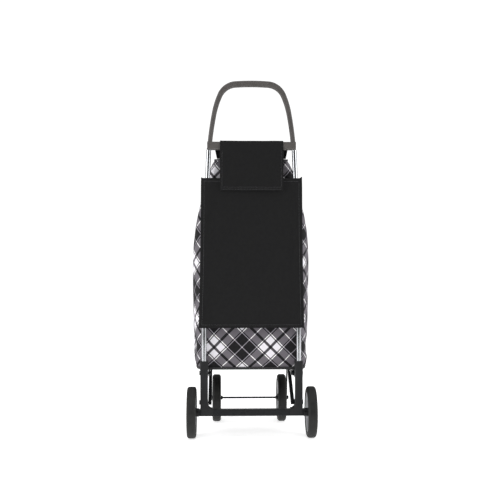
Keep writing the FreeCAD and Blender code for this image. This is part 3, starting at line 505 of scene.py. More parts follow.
@dataclass(frozen=True)
class TartanPolyester(Finish):
    """Dyed polyester cut on the bias: grey, black and white checks that stand on their points."""

    grey: str = "#6A666C"
    light: str = "#EDEAF0"
    line: str = "#FFFFFF"
    crossed: str = "#8C8890"           # a white thread line where it crosses black
    faint: str = "#4C494E"             # a light band where a dark stripe crosses it
    repeat: float = 120 * MM           # one whole check, measured along a thread
    # where each band starts, in mm from the middle of the light band, and how light it is
    bands: tuple[Point, ...] = ((0.0, 0.0), (3.9, 0.88), (24.0, 0.0), (27.2, 1.0), (29.9, 0.1), (58.7, 1.0))
    thread_pitch: float = 1.4 * MM     # threads lie about 0.5 mm apart; drawn coarser so that they show
    shift: Point = (0.0, 0.0)

    def dress(self, tree: Tree, shader: Node) -> None:
        """Wire the two sets of stripes, the checks they make and the threads.

        Args:
            tree: The material's node tree.
            shader: Its main shader.
        """
        half = self.repeat / 2
        spot = cloth_place(tree, math.radians(-45), self.shift)
        levels = []
        for side in (0, 1):
            from_light = add_node(tree, "Math", {0: spot.outputs[side], 1: half}, operation="PINGPONG")
            share = add_node(tree, "Math", {0: from_light.outputs[0], 1: half}, operation="DIVIDE").outputs[0]
            stripes = add_node(tree, "ValToRGB", {"Fac": share})
            set_ramp(stripes, [(start * MM / half, level) for start, level in self.bands], hard=True)
            levels.append(stripes.outputs[0])
        both = add_node(tree, "Math", {0: levels[0], 1: levels[1]}, operation="ADD").outputs[0]
        mean = add_node(tree, "Math", {0: both, 1: 0.5}, operation="MULTIPLY").outputs[0]
        checks = add_node(tree, "ValToRGB", {"Fac": mean})
        set_ramp(checks, [(0.0, self.colour), (0.11, self.colour), (0.44, self.faint), (0.49, self.grey),
                          (0.55, self.crossed), (0.88, self.light), (0.94, self.line)])
        threads = thread_height(tree, spot, self.thread_pitch, Weave.TWILL)
        # The threads' height scales the colour: painted shade between the threads and a painted highlight on
        # their tops.
        painted_thread_shading = add_node(tree, "MapRange", {"Value": threads, "To Min": 0.84, "To Max": 1.08}).outputs[0]
        shaded = add_node(tree, "VectorMath", {0: checks.outputs[0]}, operation="SCALE")
        tree.links.new(painted_thread_shading, shaded.inputs["Scale"])
        tree.links.new(shaded.outputs[0], shader.inputs["Base Color"])
        slub = blotches(tree, place_of(tree), 7 * MM, 5)
        tree.links.new(varied(tree, slub, 0.66, 0.84), shader.inputs["Roughness"])
        shader.inputs["IOR"].default_value = 1.5
        shader.inputs["Specular IOR Level"].default_value = 0.25
        shader.inputs["Sheen Weight"].default_value = 0.03
        bumped(tree, shader, threads, 0.1 * MM)


@dataclass(frozen=True)
class Webbing(Finish):
    """Woven polypropylene tape: ribs that run across it, with a dull shine."""

    rib_pitch: float = 1.6 * MM        # one rib of 25 mm tape is close to 1.5 mm

    def dress(self, tree: Tree, shader: Node) -> None:
        """Wire ribs and the herringbone of the weave.

        Args:
            tree: The material's node tree.
            shader: Its main shader.
        """
        spot = cloth_place(tree)
        ribs = thread_height(tree, spot, self.rib_pitch, Weave.PLAIN)
        twill = thread_height(tree, spot, self.rib_pitch * 2, Weave.TWILL)
        weave = add_node(tree, "Math", {0: ribs, 1: twill}, operation="MAXIMUM").outputs[0]
        # The colour darkens where the weave lies low: painted shade in the hollows between the ribs.
        skin = add_node(tree, "ValToRGB", {"Fac": weave})
        set_ramp(skin, [(0.0, "#0E0E0F"), (1.0, self.colour)])
        tree.links.new(skin.outputs[0], shader.inputs["Base Color"])
        tree.links.new(varied(tree, weave, 0.5, 0.68), shader.inputs["Roughness"])
        shader.inputs["IOR"].default_value = 1.49
        bumped(tree, shader, weave, 0.25 * MM)


@dataclass(frozen=True)
class SewingThread(Finish):
    """Twisted polyester thread: a fine cord that catches the light a little more than the cloth."""

    twist: float = 0.7 * MM

    def dress(self, tree: Tree, shader: Node) -> None:
        """Wire the thread's twist.

        Args:
            tree: The material's node tree.
            shader: Its main shader.
        """
        ply = blotches(tree, place_of(tree), self.twist, 1)
        tree.links.new(tinted(tree, ply, self.colour, "#5A5A5D"), shader.inputs["Base Color"])
        tree.links.new(varied(tree, ply, 0.45, 0.6), shader.inputs["Roughness"])
        bumped(tree, shader, ply, 0.05 * MM)


@dataclass(frozen=True)
class StudioPaper(Finish):
    """Matt white background paper, with a grain too soft to see as more than evenness."""

    def dress(self, tree: Tree, shader: Node) -> None:
        """Wire a faint paper grain.

        Args:
            tree: The material's node tree.
            shader: Its main shader.
        """
        grain = blotches(tree, place_of(tree), 3 * MM, 2)
        tree.links.new(tinted(tree, grain, self.colour, "#FFFFFF"), shader.inputs["Base Color"])
        shader.inputs["Roughness"].default_value = 0.9
        shader.inputs["Specular IOR Level"].default_value = 0.1


class Wardrobe:
    """Every finish of the trolley, made once and shared."""

    def __init__(self) -> None:
        """Build all the materials."""
        self.tube = PolishedAluminium("polished_aluminium_tube", "#A4A6A9").build()
        self.grip = MouldedPlastic("soft_touch_polypropylene_grip", "#484543", rubbed="#585553",
                                   roughness=0.42, ior=1.49).build()
        self.bracket = MouldedPlastic("glass_filled_nylon_bracket", "#0C0D0E", rubbed="#17181A",
                                      roughness=0.45, ior=1.53).build()
        self.steel = CoatedSteel("powder_coated_steel", "#070808").build()
        self.plug = MouldedPlastic("polyethylene_end_plug", "#121214", rubbed="#232325",
                                   roughness=0.55).build()
        self.axle = PlatedSteel("blackened_axle_steel", "#2A2B2D", roughness=0.4).build()
        self.bolt = PlatedSteel("blackened_fastener_steel", "#2E2F31", roughness=0.38).build()
        self.cap = MouldedPlastic("acetal_axle_cap", "#151517", rubbed="#262628", roughness=0.35).build()
        self.base = MouldedPlastic("polypropylene_base_board", "#17181A", rubbed="#26272A",
                                   grain=1.2 * MM).build()
        self.rims = {end: self.rim(end) for end in ("rear", "front")}
        self.tyre = TyreRubber("eva_tyre_rubber", "#121212", scuffed="#272726").build()
        self.buckle = MouldedPlastic("acetal_buckle", "#131315", rubbed="#242427", roughness=0.32).build()
        self.black = WovenPolyester("black_woven_polyester", "#0A0A0B", lighter="#111112").build()
        self.lining = WovenPolyester("black_lining_polyester", "#121213", lighter="#1A1A1C",
                                     thread_pitch=1.0 * MM).build()
        self.tartan = TartanPolyester("tartan_woven_polyester", "#121114",
                                      shift=(-90.5 * MM, -129.6 * MM)).build()
        self.yoke = TartanPolyester("tartan_yoke_polyester", "#121114", shift=(2.0 * MM, 50.1 * MM)).build()
        self.webbing = Webbing("polypropylene_webbing", "#232325").build()
        self.binding = Webbing("woven_binding_tape", "#1B1B1D", rib_pitch=1.1 * MM).build()
        self.thread = SewingThread("polyester_sewing_thread", "#262628").build()

    @staticmethod
    def rim(end: str) -> Material:
        """The rim's finish for the wheels of one axle, which share their centre line.

        Args:
            end: Rear or front.

        Returns:
            The material.
        """
        low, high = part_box(f"{end}_left_rim")
        return WheelRim(f"{end}_polypropylene_wheel_rim", "#B9BABC", rubbed="#CFD0D2", roughness=0.4,
                        grain=0.9 * MM, centre=((low.y + high.y) / 2, (low.z + high.z) / 2)).build()


# ---------------------------------------------------------------- meshes

def new_piece(name: str, points: Sequence[Vector], faces: Sequence[Sequence[int]],
              flat: Callable[[int, int], Point] | None = None) -> Piece:
    """Make a smooth mesh object, with its cloth laid flat as a map where one is given.

    Args:
        name: The piece's name.
        points: Its vertices in the row frame.
        faces: Its faces, as vertex numbers.
        flat: The spot on flat cloth for a face number and a vertex number, in metres.

    Returns:
        The new object, linked to the scene.
    """
    mesh = bpy.data.meshes.new(name)
    grid = bmesh.new()
    verts = [grid.verts.new(p) for p in points]
    layer = grid.loops.layers.uv.new(CLOTH_MAP) if flat else None
    for number, corners in enumerate(faces):
        face = grid.faces.new([verts[i] for i in corners])
        face.smooth = True
        if layer:
            for loop, i in zip(face.loops, corners):
                loop[layer].uv = flat(number, i)
    grid.normal_update()
    grid.to_mesh(mesh)
    grid.free()
    piece = bpy.data.objects.new(name, mesh)
    bpy.context.scene.collection.objects.link(piece)
    return piece


def grid_faces(rows: int, columns: int, closed: bool = False) -> list[tuple[int, int, int, int]]:
    """The quads of a grid whose vertices run along each row in turn.

    Args:
        rows: How many rows of vertices.
        columns: How many in a row.
        closed: Whether each row joins its own start.

    Returns:
        Four vertex numbers for each face.
    """
    faces = []
    for r in range(rows - 1):
        for c in range(columns if closed else columns - 1):
            following = (c + 1) % columns
            faces.append((r * columns + c, r * columns + following,
                          (r + 1) * columns + following, (r + 1) * columns + c))
    return faces


def bake(piece: Piece) -> Piece:
    """Turn the piece's modifiers into plain mesh.

    Args:
        piece: The piece.

    Returns:
        The same piece.
    """
    scene_state = bpy.context.evaluated_depsgraph_get()
    shape = piece.evaluated_get(scene_state)
    mesh = bpy.data.meshes.new_from_object(shape, preserve_all_data_layers=True, depsgraph=scene_state)
    piece.modifiers.clear()
    piece.data = mesh
    return piece


def refine(piece: Piece, levels: int = 1) -> Piece:
    """Smooth the piece by subdivision, with its corners kept.

    Args:
        piece: The piece.
        levels: How often each face is split.

    Returns:
        The same piece.
    """
    surface = piece.modifiers.new("Smooth", "SUBSURF")
    surface.levels = surface.render_levels = levels
    surface.boundary_smooth = "PRESERVE_CORNERS"
    return bake(piece)


def thicken(piece: Piece, thickness: float, offset: float = 0.0,
            lined: bool = False) -> Piece:
    """Give a sheet its thickness.

    Args:
        piece: The sheet.
        thickness: How thick it gets, in metres.
        offset: -1 grows it against its normals, 1 along them, 0 both ways.
        lined: Whether the grown side takes the piece's second material.

    Returns:
        The same piece.
    """
    solid = piece.modifiers.new("Thickness", "SOLIDIFY")
    solid.thickness = thickness
    solid.offset = offset
    solid.use_even_offset = True
    if lined:
        solid.material_offset = solid.material_offset_rim = 1
    return bake(piece)


def dress(piece: Piece, *finishes: Material) -> Piece:
    """Give the piece its finishes, in slot order.

    Args:
        piece: The piece.
        finishes: Its materials.

    Returns:
        The same piece.
    """
    piece.data.materials.clear()
    for finish in finishes:
        piece.data.materials.append(finish)
    return piece


def shape_points(piece: Piece, shaped: Callable[[int, Vector, Vector], Vector]) -> None:
    """Move every point of a piece at once.

    Args:
        piece: The piece.
        shaped: Gives the new place for a vertex number, its place and its normal.
    """
    mesh = piece.data
    spots = [v.co.copy() for v in mesh.vertices]
    normals = [v.normal.copy() for v in mesh.vertices]
    for vertex, spot in zip(mesh.vertices, [shaped(i, p, n) for i, (p, n) in enumerate(zip(spots, normals))]):
        vertex.co = spot
    mesh.update()


def relax_cloth(piece: Piece, held: Iterable[int], give: Callable[[Vector, Vector], Vector],
                growth: float = 0.01, pressure: float = 0.0, weight: float = 1.0, stiffness: float = 12.0,
                frames: int = 22) -> None:
    """Let a cloth find its own folds between the points that hold it.

    Args:
        piece: The sheet, as a coarse even grid.
        held: The vertices that stay where they are sewn.
        give: Limits a move: takes the resting point and the new one, and returns where it may be.
        growth: How much larger the cloth is than its shape, as a share.
        pressure: Push from inside.
        weight: The share of gravity that acts.
        stiffness: How much it resists stretching.
        frames: How long it settles.
    """
    scene = bpy.context.scene
    rest = [v.co.copy() for v in piece.data.vertices]
    pins = piece.vertex_groups.new(name="sewn")
    pins.add(list(held), 1.0, "REPLACE")
    cloth = piece.modifiers.new("Cloth", "CLOTH")
    settings = cloth.settings
    settings.quality = 5
    settings.mass = 0.12
    settings.air_damping = 4.0
    settings.tension_stiffness = settings.compression_stiffness = stiffness
    settings.shear_stiffness = stiffness / 2
    settings.bending_stiffness = 0.4
    settings.vertex_group_mass = pins.name
    settings.shrink_min = -growth
    settings.use_pressure = pressure != 0
    settings.uniform_pressure_force = pressure
    settings.effector_weights.gravity = weight
    cloth.collision_settings.use_collision = False
    cloth.point_cache.frame_start = 1
    cloth.point_cache.frame_end = frames
    for moment in range(1, frames + 1):
        scene.frame_set(moment)
    moved = piece.evaluated_get(bpy.context.evaluated_depsgraph_get())
    spots = [v.co.copy() for v in moved.data.vertices]
    piece.modifiers.remove(cloth)
    piece.vertex_groups.remove(pins)
    for vertex, start, spot in zip(piece.data.vertices, rest, spots):
        vertex.co = give(start, spot)
    piece.data.update()
    scene.frame_set(1)


def within(give_x: float, rear: float, front: float, give_z: float) -> Callable[[Vector, Vector], Vector]:
    """A limit on how far cloth may move.

    Args:
        give_x: The most it moves sideways.
        rear: The most it moves to the rear.
        front: The most it moves forward.
        give_z: The most it moves up or down.

    Returns:
        A function for relax_cloth.
    """
    def limit(start: Vector, spot: Vector) -> Vector:
        """Hold one point's move inside the limits, softly.

        Args:
            start: Where the point rests.
            spot: Where the cloth takes it.

        Returns:
            Where it may be.
        """
        move = spot - start
        bounds = (give_x, rear if move.y < 0 else front, give_z)
        return start + Vector([most * math.tanh(part / most) if most > 0 else 0.0
                               for part, most in zip(move, bounds)])
    return limit


def settle(piece: Piece, body: str, slot: str, *replaced: str) -> Piece:
    """Put a finished piece on its body.

    Args:
        piece: The piece, in place.
        body: The CAD body it moves with.
        slot: A material slot's name; not used.
        replaced: The CAD nodes it stands for.

    Returns:
        The same piece.
    """
    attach(piece, body)
    if replaced:
        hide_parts(*replaced)
    LOG.info("%s rides %s, %d faces%s", piece.name, body, len(piece.data.polygons),
             f", for {', '.join(replaced)}" if replaced else "")
    return piece


def crumple(piece: Piece) -> Piece:
    """Give a finished piece its own copy of its mesh.

    Args:
        piece: The finished piece.

    Returns:
        The same piece.
    """
    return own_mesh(piece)


class Skin:
    """The surface of a piece, for sewing things on to it."""

    def __init__(self, piece: Piece) -> None:
        """Take the surface as it is now."""
        self.tree = BVHTree.FromPolygons([v.co for v in piece.data.vertices],
                                         [list(p.vertices) for p in piece.data.polygons])

    def touch(self, start: Vector, way: Vector) -> tuple[Vector, Vector] | None:
        """Where a line from start first meets the surface, with the normal that faces start.

        Args:
            start: The line's start.
            way: Its direction.

        Returns:
            The point and the normal, or None for a miss.
        """
        spot, normal, _, _ = self.tree.ray_cast(start, way)
        if spot is None:
            return None
        return spot, normal if normal.dot(way) < 0 else -normal

    def follow(self, starts: Iterable[Vector], way: Vector) -> list[tuple[Vector, Vector]]:
        """Touch the surface from many starts, and leave out the misses."""
        return [hit for hit in (self.touch(s, way) for s in starts) if hit]


class Stitching:
    """Rows of lock stitch, each stitch a small twisted grain of thread."""

    def __init__(self, length: float = 3.4 * MM, gap: float = 1.1 * MM, radius: float = 0.38 * MM) -> None:
        """Start with no stitches.

        Args:
            length: The length of a stitch.
            gap: The gap to the next stitch.
            radius: The thread's radius.
        """
        self.length, self.gap, self.radius = length, gap, radius
        self.points: list[Vector] = []
        self.faces: list[list[int]] = []

    def row(self, path: Sequence[tuple[Vector, Vector]]) -> "Stitching":
        """Sew along a path of points and normals.

        Args:
            path: The points, each with the surface's normal.

        Returns:
            This stitching.
        """
        room = self.gap
        for (a, normal), (b, _) in zip(path, path[1:]):
            span = (b - a).length
            if span < 1e-6 or span > 30 * MM:
                continue
            way = (b - a) / span
            while room < span:
                self.stitch(a + way * room, way, normal)
                room += self.length + self.gap
            room -= span
        return self

    def stitch(self, middle: Vector, way: Vector, normal: Vector) -> None:
        """Add one stitch.

        Args:
            middle: Its middle.
            way: The direction of sewing.
            normal: The way out of the cloth.
        """
        side = way.cross(normal).normalized()
        first = len(self.points)
        for along, share in ((-0.5, 0.3), (-0.28, 1.0), (0.28, 1.0), (0.5, 0.3)):
            for turn in range(5):
                angle = turn * 2 * math.pi / 5
                out = side * math.cos(angle) + normal * (math.sin(angle) * 0.8)
                self.points.append(middle + way * (self.length * along) + out * (self.radius * share)
                                   + normal * (self.radius * 0.3 * share))
        for ring in range(3):
            for turn in range(5):
                a, b = first + ring * 5 + turn, first + ring * 5 + (turn + 1) % 5
                self.faces.append([a, b, b + 5, a + 5])
        self.faces.append([first + i for i in reversed(range(5))])
        self.faces.append([first + 15 + i for i in range(5)])

    def make(self, name: str, thread: Material) -> Piece:
        """Turn the rows into one piece."""
        return dress(new_piece(name, self.points, self.faces), thread)


def drawn_piece(name: str, curve: bpy.types.Curve) -> Piece:
    """Turn a curve with a bevel into a mesh piece.

    Args:
        name: The piece's name.
        curve: The finished curve.

    Returns:
        The piece, linked to the scene.
    """
    maker = bpy.data.objects.new(name + "_maker", curve)
    bpy.context.scene.collection.objects.link(maker)
    mesh = bpy.data.meshes.new_from_object(maker.evaluated_get(bpy.context.evaluated_depsgraph_get()))
    bpy.data.objects.remove(maker)
    piece = bpy.data.objects.new(name, mesh)
    bpy.context.scene.collection.objects.link(piece)
    return piece


def round_cord(name: str, path: Sequence[Vector], radius: float, closed: bool,
               finish: Material) -> Piece:
    """A covered piping cord along a path.

    Args:
        name: The piece's name.
        path: The points it follows.
        radius: Its radius.
        closed: Whether it joins its own start.
        finish: Its material.

    Returns:
        A mesh piece.
    """
    curve = bpy.data.curves.new(name, "CURVE")
    curve.dimensions = "3D"
    curve.bevel_depth = radius
    curve.bevel_resolution = 2
    curve.use_fill_caps = True
    line = curve.splines.new("POLY")
    line.points.add(len(path) - 1)
    for spot, point in zip(line.points, path):
        spot.co = (*point, 1.0)
    line.use_cyclic_u = closed
    piece = drawn_piece(name, curve)
    for face in piece.data.polygons:
        face.use_smooth = True
    add_flat_map(piece.data)
    return dress(piece, finish)


def add_flat_map(mesh: bpy.types.Mesh) -> None:
    """Map a narrow piece by its height and width, so that its weave has a scale.

    Args:
        mesh: The mesh to map.
    """
    layer = mesh.uv_layers.get(CLOTH_MAP) or mesh.uv_layers.new(name=CLOTH_MAP)
    layer.name = CLOTH_MAP
    for loop in mesh.loops:
        spot = mesh.vertices[loop.vertex_index].co
        layer.data[loop.index].uv = (spot.x + spot.y, spot.z + spot.y * 0.5)


def bound_edge(name: str, ring: Sequence[tuple[Vector, Vector]], section: Sequence[Point],
               finish: Material) -> Piece:
    """A tape folded over the edge of a loop.

    Args:
        name: The piece's name.
        ring: Points of the edge, with the way outward at each.
        section: The tape's closed section, as (outward, up) from the edge.
        finish: Its material.

    Returns:
        A mesh piece.
    """
    count = len(section)
    points = [spot + out * o + Vector((0, 0, u)) for spot, out in ring for o, u in section]
    faces = []
    for r in range(len(ring)):
        following = (r + 1) % len(ring)
        for c in range(count):
            n = (c + 1) % count
            faces.append((r * count + c, following * count + c, following * count + n, r * count + n))
    lengths = runs_along([spot for spot, _ in ring])
    piece = new_piece(name, points, faces,
                      lambda face, i: (section[i % count][0] + section[i % count][1], lengths[i // count]))
    return dress(piece, finish)


def tape(name: str, path: Sequence[Point], width: float, thickness: float,
         finish: Material) -> Piece:
    """A flat webbing tape that runs up or down the front.

    Args:
        name: The piece's name.
        path: The tape's middle line as (y, z) points.
        width: Its width along X.
        thickness: Its thickness.
        finish: Its material.

    Returns:
        A mesh piece.
    """
    columns = 7
    lengths = runs_along(path)
    points = []
    for y, z in path:
        for c in range(columns):
            across = (c / (columns - 1) - 0.5) * width
            points.append(Vector((across, y, z)))
    piece = new_piece(name, points, grid_faces(len(path), columns),
                      lambda face, i: ((i % columns) * width / (columns - 1), lengths[i // columns]))
    refine(piece, 1)
    thicken(piece, thickness)
    edge = piece.modifiers.new("Edge", "BEVEL")
    edge.width = thickness * 0.3
    edge.segments = 2
    edge.limit_method = "ANGLE"
    return dress(bake(piece), finish)


def rounded(points: Sequence[Point], radius: float, steps: int = 4) -> list[Point]:
    """Round the corners of a closed outline.

    Args:
        points: The outline's corners.
        radius: How far from a corner its rounding starts.
        steps: How many pieces each rounding has.

    Returns:
        The rounded outline.
    """
    made = []
    for i, corner in enumerate(points):
        here = Vector(corner)
        to_last = (Vector(points[i - 1]) - here)
        to_next = (Vector(points[(i + 1) % len(points)]) - here)
        a = here + to_last.normalized() * min(radius, to_last.length / 2.01)
        b = here + to_next.normalized() * min(radius, to_next.length / 2.01)
        for step in range(steps + 1):
            t = step / steps
            made.append(tuple(a * (1 - t) ** 2 + here * (2 * t * (1 - t)) + b * t ** 2))
    return made


def moulding(name: str, outlines: Sequence[Sequence[Point]], rear: float, front: float, edge: float,
             finish: Material) -> Piece:
    """A moulded plate that stands across Y, with holes where outlines lie inside the first.

    Args:
        name: The piece's name.
        outlines: Closed outlines as (x, z) points.
        rear: The Y of its rear face.
        front: The Y of its front face.
        edge: The radius of its rounded edges.
        finish: Its material.

    Returns:
        A mesh piece.
    """
    curve = bpy.data.curves.new(name, "CURVE")
    curve.dimensions = "2D"
    curve.fill_mode = "BOTH"
    curve.extrude = (front - rear) / 2 - edge
    curve.bevel_depth = edge
    curve.bevel_resolution = 2
    curve.offset = -edge
    for outline in outlines:
        line = curve.splines.new("POLY")
        line.points.add(len(outline) - 1)
        for spot, (x, z) in zip(line.points, outline):
            spot.co = (x, z, 0, 1)
        line.use_cyclic_u = True
    piece = drawn_piece(name, curve)
    for vertex in piece.data.vertices:
        vertex.co = Vector((vertex.co.x, (rear + front) / 2 - vertex.co.z, vertex.co.y))
    return dress(piece, finish)


# ---------------------------------------------------------------- the bag

@dataclass
class Bag:
    """The sewn body of the bag: wide below, drawn in to a neck, and open at its rim."""

    low: Vector
    high: Vector
    corner: float = 38 * MM
    cloth: float = 1.6 * MM
    row_pitch: float = 12 * MM
    seam_height: float = 542 * MM      # where the yoke is sewn on, above the floor of the bag
    stations: tuple[tuple[float, float, float], ...] = (
        (0.0, 164 * MM, 140 * MM), (18 * MM, 172 * MM, 148 * MM), (437 * MM, 172 * MM, 148 * MM),
        (542 * MM, 153 * MM, 148 * MM), (597 * MM, 134 * MM, 138 * MM), (632 * MM, 112 * MM, 124 * MM))
    edge_steps: int = 24
    side_steps: int = 15
    corner_steps: int = 6

    def plan_at(self, height: float) -> Point:
        """Half width and front of the bag at a height above its floor, with its shoulders rounded.

        Args:
            height: Metres above the floor of the bag.

        Returns:
            The half width and the Y of the front.
        """
        total = [0.0, 0.0]
        reach = 20 * MM
        tries = 9
        for i in range(tries):
            spot = height + reach * (i / (tries - 1) * 2 - 1) * min(1.0, self.room(height) / reach)
            for k in range(2):
                total[k] += self.straight(spot, k + 1)
        return total[0] / tries, total[1] / tries

    def room(self, height: float) -> float:
        """How far a height is from the bag's top or floor."""
        return max(0.0, min(height, self.stations[-1][0] - height))

    def straight(self, height: float, column: int) -> float:
        """The straight-line value between two stations.

        Args:
            height: Metres above the floor of the bag.
            column: 1 for the half width, 2 for the front.

        Returns:
            The value there.
        """
        last = self.stations[0]
        for station in self.stations[1:]:
            if height <= station[0]:
                share = (height - last[0]) / (station[0] - last[0])
                return last[column] + (station[column] - last[column]) * share
            last = station
        return last[column]

    def ring(self, height: float) -> list[Vector]:
        """The bag's outline at a height above its floor.

        Args:
            height: Metres above the floor of the bag.

        Returns:
            Points from the middle of the rear, round by the right side, to the rear again.
        """
        half, front = self.plan_at(height)
        rear = self.low.y
        radius = self.corner
        z = self.low.z + height
        points = []

        def run(start: Point, end: Point, steps: int) -> None:
            """Add a straight run, without its end.

            Args:
                start: Its start.
                end: Its end.
                steps: How many points it has.
            """
            for i in range(steps):
                t = i / steps
                points.append(Vector((start[0] + (end[0] - start[0]) * t,
                                      start[1] + (end[1] - start[1]) * t, z)))

        def turn(centre: Point, start: float) -> None:
            """Add a quarter turn, without its end.

            Args:
                centre: The turn's centre.
                start: The angle it starts at, in degrees.
            """
            for i in range(self.corner_steps):
                angle = math.radians(start + 90 * i / self.corner_steps)
                points.append(Vector((centre[0] + radius * math.cos(angle),
                                      centre[1] + radius * math.sin(angle), z)))

        inner = half - radius
        run((0, rear), (inner, rear), self.edge_steps // 2)
        turn((inner, rear + radius), -90)
        run((half, rear + radius), (half, front - radius), self.side_steps)
        turn((inner, front - radius), 0)
        run((inner, front), (-inner, front), self.edge_steps)
        turn((-inner, front - radius), 90)
        run((-half, front - radius), (-half, rear + radius), self.side_steps)
        turn((-inner, rear + radius), 180)
        run((-inner, rear), (0, rear), self.edge_steps // 2)
        return points

    def front_columns(self) -> tuple[int, int]:
        """The columns of the two front seams, at the middle of the front corners."""
        first = self.edge_steps // 2 + self.corner_steps + self.side_steps + self.corner_steps // 2
        return first, first + self.corner_steps + self.edge_steps

    def outward(self, ring: Sequence[Vector]) -> list[tuple[Vector, Vector]]:
        """Each point of a ring with its level outward way.

        Args:
            ring: The points.

        Returns:
            Pairs of a point and its way out.
        """
        made = []
        for i, spot in enumerate(ring):
            along = ring[(i + 1) % len(ring)] - ring[i - 1]
            made.append((spot, Vector((along.y, -along.x, 0)).normalized()))
        return made

    def build(self, wardrobe: Wardrobe) -> None:
        """Sew the bag: body and yoke, floor, bound edges, piped seams and stitching.

        Args:
            wardrobe: The finishes.
        """
        height = self.high.z - self.low.z
        rows = round(height / self.row_pitch) + 1
        heights = [height * r / (rows - 1) for r in range(rows)]
        rings = [self.ring(h) for h in heights]
        columns = len(rings[0])
        first, last = self.front_columns()
        flat_spots = [(runs_along(ring + ring[:1]), h) for ring, h in zip(rings, heights)]

        def flat(face: int, i: int) -> Point:
            """Front panel and wrapped body are cut apart, and each lies flat on its own.

            Args:
                face: The face's number.
                i: The vertex's number.

            Returns:
                The spot on flat cloth.
            """
            run, h = flat_spots[i // columns]
            column = i % columns
            whole = run[-1]
            if first <= face % columns < last:
                return (run[column] - whole / 2, h + 60 * MM)
            along = run[column] if face % columns < columns / 2 or column else whole
            return (along if face % columns < columns / 2 else along - whole, h)

        shell = new_piece("bag_body", [p for ring in rings for p in ring],
                          grid_faces(rows, columns, closed=True), flat)
        shell.data.materials.append(wardrobe.tartan)
        held = [i for i in range(rows * columns) if i // columns in (0, 1, rows - 2, rows - 1)]
        held += [r * columns + c for r in range(rows) for c in (first, last)]

        def give(start: Vector, spot: Vector) -> Vector:
            """The rear lies on the tubes; the other sides may belly a little.

            Args:
                start: Where the point rests.
                spot: Where the cloth takes it.

            Returns:
                Where it may be.
            """
            at_rear = 1 - smooth_step(0.0, 50 * MM, start.y - self.low.y)
            low_end = smooth_step(0.0, 90 * MM, start.z - self.low.z)
            slack = 7 * MM * low_end + 1 * MM
            limit = within(slack * (1 - 0.6 * at_rear), max(0.5 * MM, slack * (1 - at_rear)), slack, 4 * MM)
            return limit(start, spot)

        relax_cloth(shell, held, give, growth=0.012, pressure=0.5, weight=0.6)
        refine(shell, 1)
        for face in shell.data.polygons:
            face.material_index = 2 if face.center.z > self.low.z + self.seam_height else 0
        self.pinch(shell)
        dress(shell, wardrobe.tartan, wardrobe.lining, wardrobe.yoke, wardrobe.lining)
        thicken(shell, self.cloth, -1, lined=True)
        settle(shell, "frame", "tartan_fabric", "bag_shell")
        self.trim(shell, heights, wardrobe)
        crumple(shell)

    def pinch(self, shell: Piece) -> None:
        """Draw the cloth in a little along the yoke seam.

        Args:
            shell: The body, before it is thickened.
        """
        seam = self.low.z + self.seam_height

        def shaped(_: int, spot: Vector, normal: Vector) -> Vector:
            """Ripple the cloth a little, and never towards the tubes.

            Args:
                _: The vertex's number.
                spot: The point.
                normal: Its normal.

            Returns:
                Its new place.
            """
            depth = 0.9 * MM * bell(spot.z - seam, 5 * MM)
            ripple = noise.noise(spot * 38.0) * 0.5 * MM
            away = normal * (ripple * smooth_step(0.0, 40 * MM, spot.z - self.low.z) - depth)
            if spot.y < self.low.y + 8 * MM:
                away.y = max(away.y, 0.0)
            return spot + away

        shape_points(shell, shaped)

    def trim(self, shell: Piece, heights: Sequence[float], wardrobe: Wardrobe) -> None:
        """Bind the rim and foot, pipe the front seams and stitch the yoke.

        Args:
            shell: The finished body.
            heights: The rows' heights.
            wardrobe: The finishes.
        """
        skin = Skin(shell)
        rim = self.outward(self.ring(heights[-1]))
        foot = self.outward(self.ring(0.0))
        t = self.cloth
        rim_tape = bound_edge("bag_rim_binding", rim, [
            (0.9 * MM, -11 * MM), (1.1 * MM, -1 * MM), (0.3 * MM, 0.2 * MM), (-t - 0.3 * MM, 0.2 * MM),
            (-t - 1.0 * MM, -1 * MM), (-t - 0.8 * MM, -11 * MM), (-t - 0.1 * MM, -11.3 * MM),
            (0.1 * MM, -11.3 * MM)], wardrobe.yoke)
        foot_tape = bound_edge("bag_foot_binding", foot, [
            (3.2 * MM, 7.5 * MM), (3.6 * MM, 6.8 * MM), (1.4 * MM, 0.2 * MM), (0.2 * MM, -0.6 * MM),
            (-7 * MM, -0.8 * MM), (-7 * MM, 0.0), (-1.0 * MM, 0.6 * MM), (0.4 * MM, 2.0 * MM)],
            wardrobe.binding)
        pieces = [rim_tape, foot_tape]
        stitches = Stitching()
        for level, inset in ((heights[-1] - 9.5 * MM, 30 * MM), (self.seam_height - 4 * MM, 30 * MM),
                             (self.seam_height + 4 * MM, 30 * MM)):
            path = []
            ring = self.outward(self.ring(level))
            for spot, out in ring + ring[:1]:
                hit = skin.touch(spot + out * inset, -out)
                if hit:
                    rise = 1.0 * MM if level > self.high.z - self.low.z - 12 * MM else 0.1 * MM
                    path.append((hit[0] + out * rise, out))
            stitches.row(path)
        for column in self.front_columns():
            path = []
            for level in heights[1:-1]:
                spot, out = self.outward(self.ring(level))[column]
                hit = skin.touch(spot + out * 30 * MM, -out)
                if hit:
                    path.append(hit[0] + out * 0.9 * MM)
            pieces.append(round_cord(f"bag_piping_{'right' if path[0].x > 0 else 'left'}", path, 1.9 * MM,
                                     False, wardrobe.binding))
        pieces.append(stitches.make("bag_stitching", wardrobe.thread))
        settle(self.floor(wardrobe), "undercarriage", "black_fabric")
        for piece in pieces:
            settle(piece, "frame", "black_fabric")
            crumple(piece)

